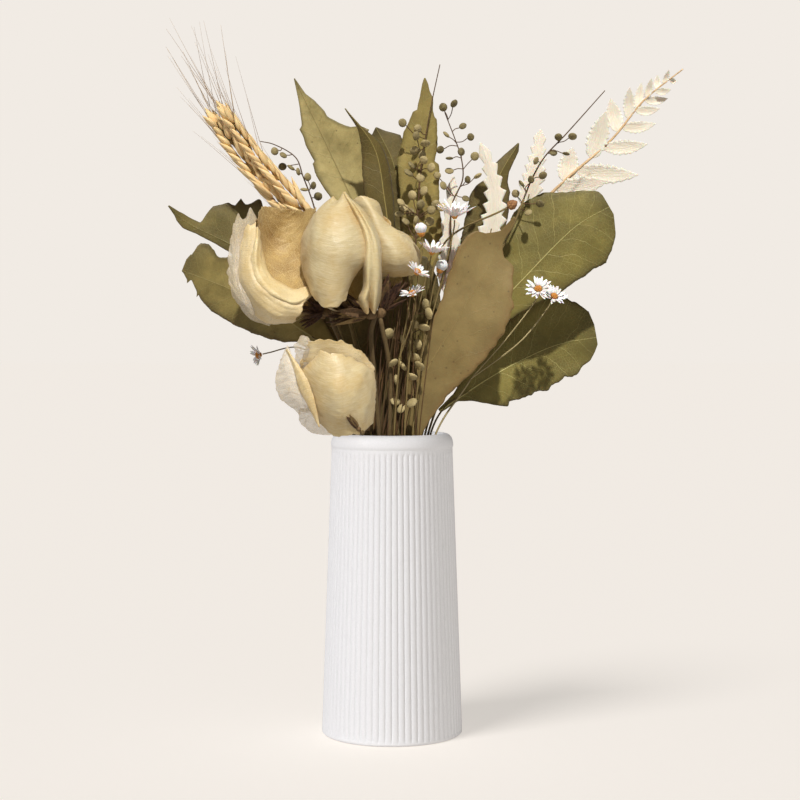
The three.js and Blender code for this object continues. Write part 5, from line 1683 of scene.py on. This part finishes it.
def ray_shape(width, curl, bulge):
    """A ray of length 1 along +Z, half as wide as its width times sin(pi s^0.8)^0.7. Across, it
    rises by curl times u squared, and along its middle by bulge sin(pi s)."""
    share = np.linspace(0, 1, 9)
    half = width * np.maximum(np.sin(np.pi * share**0.8), 0) ** 0.7 + 0.01
    return small_sheet(share, half, curl, 0.05 * share**2 + bulge * np.sin(np.pi * share), 0.03)


RAY_SHAPE, CLOSED_RAY = ray_shape(0.17, 0.35, 0.0), ray_shape(0.22, -0.4, 0.26)
FLORET = turned([(0.3, -0.6), (1, 0), (0.8, 0.7), (0.2, 1.1)], 5)
DOME_PROFILE = [(0.5, -3), (1.6, -2.6), (2.7, -0.4), (2.5, 0.5), (1.9, 1.2), (0.9, 1.7), (0.1, 1.8)]
DOME = turned(DOME_PROFILE, sides=16)
print("faces of one ray:", 2 * len(RAY_SHAPE["quads"]))


# %% Rays of a head
def head_axes(facing):
    """Two axes across a head that faces along z, and z itself."""
    z = unit(facing)
    x = unit(np.cross([0, -1, 0.01], z))
    return x, np.cross(z, x), z


def rays(head, facing, reach, lift, random):
    """Rays along cos(a) x + sin(a) y + lift z of the head's own axes. Without a lift the head is
    closed: its rays bulge outwards and meet over the disc."""
    x, y, z = head_axes(facing)
    parts = []
    for row, (count, length, steep) in enumerate(RAY_ROWS):
        angle = (np.arange(count) + 0.5 * row) * 2 * np.pi / count + random.normal(0, 0.12, count)
        flat_out = around(angle, x, y)
        start_at = head + flat_out * (DISC_RADIUS + 0.3) + z * (0.3 * row - 0.3)
        if lift is None:
            out = unit(z - (0.25 + 0.08 * row + random.normal(0, 0.04, count))[:, None] * flat_out)
            start_at = start_at - (0.4 + 0.6 * row) * flat_out - 0.2 * z
            shape, sizes, up = CLOSED_RAY, (7.5, 8.5 - 2 * row, reach), flat_out
        else:
            out = unit(flat_out + (lift + steep + random.normal(0, 0.12, count))[:, None] * z)
            span = (reach * length - DISC_RADIUS) * random.uniform(0.8, 1.0, count)
            span = span * math.sqrt(1 + lift**2)
            wide = span * 0.4 + 3.4
            shape, sizes, up = RAY_SHAPE, together(wide, wide, span), z
        parts.append(scatter(shape, start_at, out, sizes, 0, random.uniform(0, 1, count), up))
    return joined(parts)


# %% Disc of a head
FLORET_COUNT, FLORET_SIZE, GOLDEN_ANGLE = 46, 0.42, 2.39996


def disc(head, facing, size, random):
    """A dome with florets on a sunflower spiral: floret k is at radius sqrt(k / count), turned by
    the golden angle."""
    x, y, z = head_axes(facing)
    k = np.arange(FLORET_COUNT) + 0.5
    radius, angle = np.sqrt(k / FLORET_COUNT), k * GOLDEN_ANGLE
    upwards = np.sqrt(1.15 - radius**2)[:, None] * z * 0.8
    normal = unit(radius[:, None] * around(angle, x, y) + upwards)
    outwards = normal - z * (normal @ z)[:, None]
    place = head - 0.2 * z + normal * 1.8 + (radius * 0.35)[:, None] * outwards
    florets = scatter(FLORET, place, normal, FLORET_SIZE, 0, random.uniform(0, 0.8, FLORET_COUNT))
    return joined([scatter(DOME, head, z, size, tones=0.4), florets])


# %% Nine heads
OPEN_DISC, CLOSED_DISC = 0.82, 1.0  # sizes
DAISIES = {  # head, the way it faces, reach of its rays, lift (none where it is closed)
    "daisy_1": ([41, -22, 343], [0.05, -0.25, 1], 13, 0.75),
    "daisy_2": ([19, -37, 331], [-0.1, -0.15, 1], 6.6, None),
    "daisy_3": ([26, -33, 319], [0.2, -0.3, 1], 10.5, 0.7),
    "daisy_4": ([31.5, -27, 308], [0.45, -0.2, 1], 6.8, None),
    "daisy_5": ([16.5, -53, 305], [0.55, -0.4, 0.75], 8.5, 0.35),
    "daisy_6": ([13, -52, 291.5], [-0.3, -0.3, 0.9], 9, 0.3),
    "daisy_7": ([96, -16, 295.5], [-0.05, -0.8, 0.55], 9.8, 0.22),
    "daisy_8": ([107.5, -5, 291], [0.25, -0.7, 0.6], 9.3, 0.3),
    "daisy_9": ([-87, -26, 252], [-0.85, -0.4, -0.2], 8, 0.4),
}
for index, (name, (head, facing, reach, lift)) in enumerate(DAISIES.items()):
    random = np.random.default_rng(100 + index)
    head = np.asarray(head, float)
    made = rays(head, facing, reach, lift, random)
    piece(f"{name}_rays_fine", [(made, RAY)], [f"{name}_rays"])
    made = disc(head, facing, CLOSED_DISC if lift is None else OPEN_DISC, random)
    piece(f"{name}_disc_fine", [(made, DISC)], [f"{name}_disc"])


# %% Daisy stalks
SHARED_RADIUS, SINGLE_RADIUS = 0.65, 0.45


def daisy_stalks(name, neck, fork, heads, material=STALK):
    """A shared stem to the fork, and from there a stalk to the back of each head, through the point
    that is given with it."""
    parts = [stem([*through_neck(neck), fork], SHARED_RADIUS, 6)]
    for daisy_name, *bend in heads:
        head, facing, _, _ = DAISIES[daisy_name]
        z = unit(facing)
        head = np.asarray(head, float)
        parts.append(stem([fork, *bend, head - 8 * z, head - 3.2 * z], SINGLE_RADIUS, 6, 50))
    piece(f"{name}_fine", [(joined(parts), material)], [name])


daisy_stalks("daisy_stalks_front", [13, -20], [19, -28, 250], [("daisy_1",), ("daisy_4",)])
daisy_stalks(
    "daisy_stalks_middle", [8, -25], [12, -30, 262], [("daisy_2", [19, -36, 315]), ("daisy_3",)]
)
daisy_stalks(
    "daisy_stalks_left", [1, -27], [5, -42, 250], [("daisy_5", [12, -48, 290]), ("daisy_6",)]
)
daisy_stalks(
    "daisy_stalks_right", [26, -3], [52, -6, 236],
    [("daisy_7", [78, -13, 266]), ("daisy_8", [86, -7, 262])], PALE_STALK,
)
daisy_stalks("daisy_stalk_outer", [-27, -9], [-40, -8, 245], [("daisy_9", [-62, -14, 257])])

# %% [markdown]
# ## Thin stems and a closed bud
#
# Low in the bunch, many thin stems stand between the named ones, too many to tell apart. Seeded
# draws place them, and they stop behind the blooms. Half of them are coloured very dark, as painted
# shade for the deep shade there. To the right of the bunch, one long stalk carries a closed orange
# bud of overlapping scales.

# %% Thin stems between the others
def thin_stems(count, seed):
    """Stems from the front half of the neck. Each ends above its place there, moved to the right
    and towards the viewer by its own draw, in two lists for two finishes."""
    random = np.random.default_rng(seed)
    angle = np.radians(random.uniform(195, 335, count))
    reach = 24 * np.sqrt(random.uniform(0.3, 1, count))
    neck = together(reach * np.cos(angle), reach * np.sin(angle))
    top_x = 0.75 * neck[:, 0] + 7 + random.normal(0, 5, count)
    top_y = neck[:, 1] - 4 + random.normal(0, 3, count)
    top = together(top_x, top_y, random.uniform(262, 318, count))
    parts = [[], []]
    for index in range(count):
        middle = (np.array([*neck[index], NECK_HEIGHT]) + top[index]) / 2
        middle = middle + random.normal(0, 2.5, 3) * [1, 0.6, 0]
        points = [*through_neck(neck[index]), middle, top[index]]
        radius = random.uniform(0.35, 0.75)
        made = stem(points, radius, 5, 30, 0.5, random.uniform(0, 0.8))
        parts[index % 2].append(made)
    return joined(parts[0]), joined(parts[1])


# Half the stems take the very dark stalk colour, as painted shade.
shade_dark_stems, red_stems = thin_stems(44, 120)
piece("thin_stems_fine", [(shade_dark_stems, SHADE_DARK_STALK), (red_stems, RED_STALK)], [])

# %% Closed bud
BUD_PLACE, BUD_FACING = np.array([78.0, -17.0, 350.0]), unit([0.8, -0.1, 0.5])
BUD_CORE = turned([(0.4, -3), (2.2, -1.7), (3.0, 0.6), (2.1, 3.2), (0.2, 4.8)], 16)
SCALE_SHAPE = turned([(0.1, 0), (0.8, 0.2), (1, 0.5), (0.6, 0.8), (0.05, 1)], 8, 0.35)
SCALE_ROWS = np.array([  # radius, height, lean outwards
    [2.0, -2.2, 0.5], [2.75, -0.7, 0.15], [2.7, 0.9, -0.25], [1.9, 2.3, -0.55],
])
SCALES_PER_ROW = 9


def closed_bud():
    """An egg-shaped bud with four rows of pointed scales that lie against it."""
    core = scatter(BUD_CORE, BUD_PLACE, BUD_FACING)
    x, y, _ = head_axes(BUD_FACING)
    row = np.repeat(np.arange(len(SCALE_ROWS)), SCALES_PER_ROW)
    turn = np.tile(np.arange(SCALES_PER_ROW), len(SCALE_ROWS)) * 2 * np.pi / SCALES_PER_ROW
    angle = turn + row * 0.35
    out = around(angle, x, y)
    radius, height, lean = (SCALE_ROWS[row, k, None] for k in range(3))
    place = BUD_PLACE + out * radius + BUD_FACING * height
    direction = unit(BUD_FACING + lean * out)
    scales = scatter(SCALE_SHAPE, place, direction, (1.05, 1.05, 2.6), 0, 0.1 + 0.2 * row, out)
    return joined([core, scales])


piece("bud_head_fine", [(closed_bud(), BUD)], ["bud_head"])
bud_route = [[22, -9, 262], [34, -10, 325], BUD_PLACE - 3.2 * BUD_FACING]
bud_stalk = stem([*through_neck([14.5, -4.5]), *bud_route], 0.65, 6, 90)
piece("bud_stalk_fine", [(bud_stalk, STALK)], ["bud_stalk"])

# %% [markdown]
# ## Floor and light
#
# A plain pale floor runs on to the horizon, and the world behind it has the same colour. One light
# for everything would be simpler, but what suits the leaves would be too hard for white ribs. So
# the plants are lit by a small bright light from above in front, which draws crisp shadows on the
# leaves, and weakly by a broad one from the left. The vase and the floor have soft lights of their
# own, flagged off as in a studio with cards, so that the ribs stay soft and only the vase shades
# the floor.

# %% Floor
BACKGROUND = (241, 235, 228)
FLOOR_SIZE, FLOOR_DROP = 60.0, 0.0002  # metres: its side, and how far it is under the vase
FLOOR_SHARE = 0.62  # how much of its colour the floor shows by the lights
FLOOR_GLOW, FLOOR_FILL = 0.608, 0.3  # how much it shines by itself, to the camera and to the object


def plain_floor():
    """A square whose own glow is weaker for the object than for the camera."""
    end = FLOOR_SIZE / 2
    mesh = bpy.data.meshes.new("floor")
    corners = [(x, y, -FLOOR_DROP) for x, y in ((-end, -end), (end, -end), (end, end), (-end, end))]
    mesh.from_pydata(corners, [], [(0, 1, 2, 3)])
    made = bpy.data.objects.new("floor", mesh)
    bpy.context.scene.collection.objects.link(made)
    material = bpy.data.materials.new("floor")
    tree = empty(material)
    glow = tree.math("MULTIPLY_ADD", tree.add("LightPath"), FLOOR_GLOW - FLOOR_FILL, FLOOR_FILL)
    colour = (*(FLOOR_SHARE * value for value in linear(*BACKGROUND)[:3]), 1.0)
    shader = tree.add(
        "BsdfPrincipled", Base_Color=colour, Roughness=0.9, Specular_IOR_Level=0.0,
        Emission_Color=linear(*BACKGROUND), Emission_Strength=glow,
    )
    tree.node("OutputMaterial", Surface=shader)
    mesh.materials.append(material)
    return made


floor = plain_floor()
print(floor.name, "is", FLOOR_SIZE, "m wide")


# %% A sun lamp for chosen pieces
def sun(name, towards, strength, angle, colour, receivers, blockers=None):
    """A sun lamp that shines along a direction on the receivers only, shaded by the blockers only.
    Its angle in degrees sets how soft its shadows are."""
    data = bpy.data.lights.new(name, "SUN")
    data.energy, data.angle, data.color = strength, math.radians(angle), colour
    lamp = bpy.data.objects.new(name, data)
    z = -unit(towards)
    x = unit(np.cross([0, 1, 0.1], z))
    turn = np.eye(4)
    turn[:3, :3] = np.stack([x, np.cross(z, x), z], axis=1)
    lamp.matrix_world = Matrix(turn.tolist())
    bpy.context.scene.collection.objects.link(lamp)
    for label, objects in (("receiver", receivers), ("blocker", blockers)):
        if objects is not None:
            group = bpy.data.collections.new(f"{label}s of {name}")
            for each in objects:
                group.objects.link(each)
            setattr(lamp.light_linking, f"{label}_collection", group)


# %% Lights: direction, strength, angle, colour, what they shine on and what shades it
WARM, NEUTRAL = (1.0, 0.975, 0.93), (1.0, 0.99, 0.985)
WHITE, COOL = (1.0, 1.0, 1.0), (0.97, 0.985, 1.0)
SOFT_DIRECTION = (0.557, 0.557, -0.616)
plants = [each for each in fine_pieces if each is not vase]
by_the_rim = [vase] + [each for each in fine_pieces if each.name.startswith("husk_low")]
sun("key_light", (-0.07, 0.62, -0.78), 4.2, 2.0, WARM, plants)
sun("side_light", SOFT_DIRECTION, 0.35, 20.0, WHITE, plants)
sun("vase_light", (0.68, 0.5, -0.5), 2.45, 28.0, COOL, [vase], [vase])
sun("vase_card", (-0.5, 0.8, -0.25), 1.12, 50.0, WARM, [vase], by_the_rim)
sun("floor_light", SOFT_DIRECTION, 2.3, 28.0, NEUTRAL, [floor], [vase])

# %% World
WORLD_FILL, FILL_COLOUR = 0.18, (1.0, 0.99, 0.97, 1.0)

world = bpy.data.worlds.new("studio")
tree = empty(world)
seen = tree.add("Background", Color=linear(*BACKGROUND), Strength=1.0)
fill = tree.add("Background", Color=FILL_COLOUR, Strength=WORLD_FILL)
tree.node("OutputWorld", Surface=tree.add("MixShader", tree.add("LightPath"), fill, seen))
bpy.context.scene.world = world
bpy.context.scene.view_settings.view_transform = "Standard"
print("world:", world.name, "fills with", WORLD_FILL)
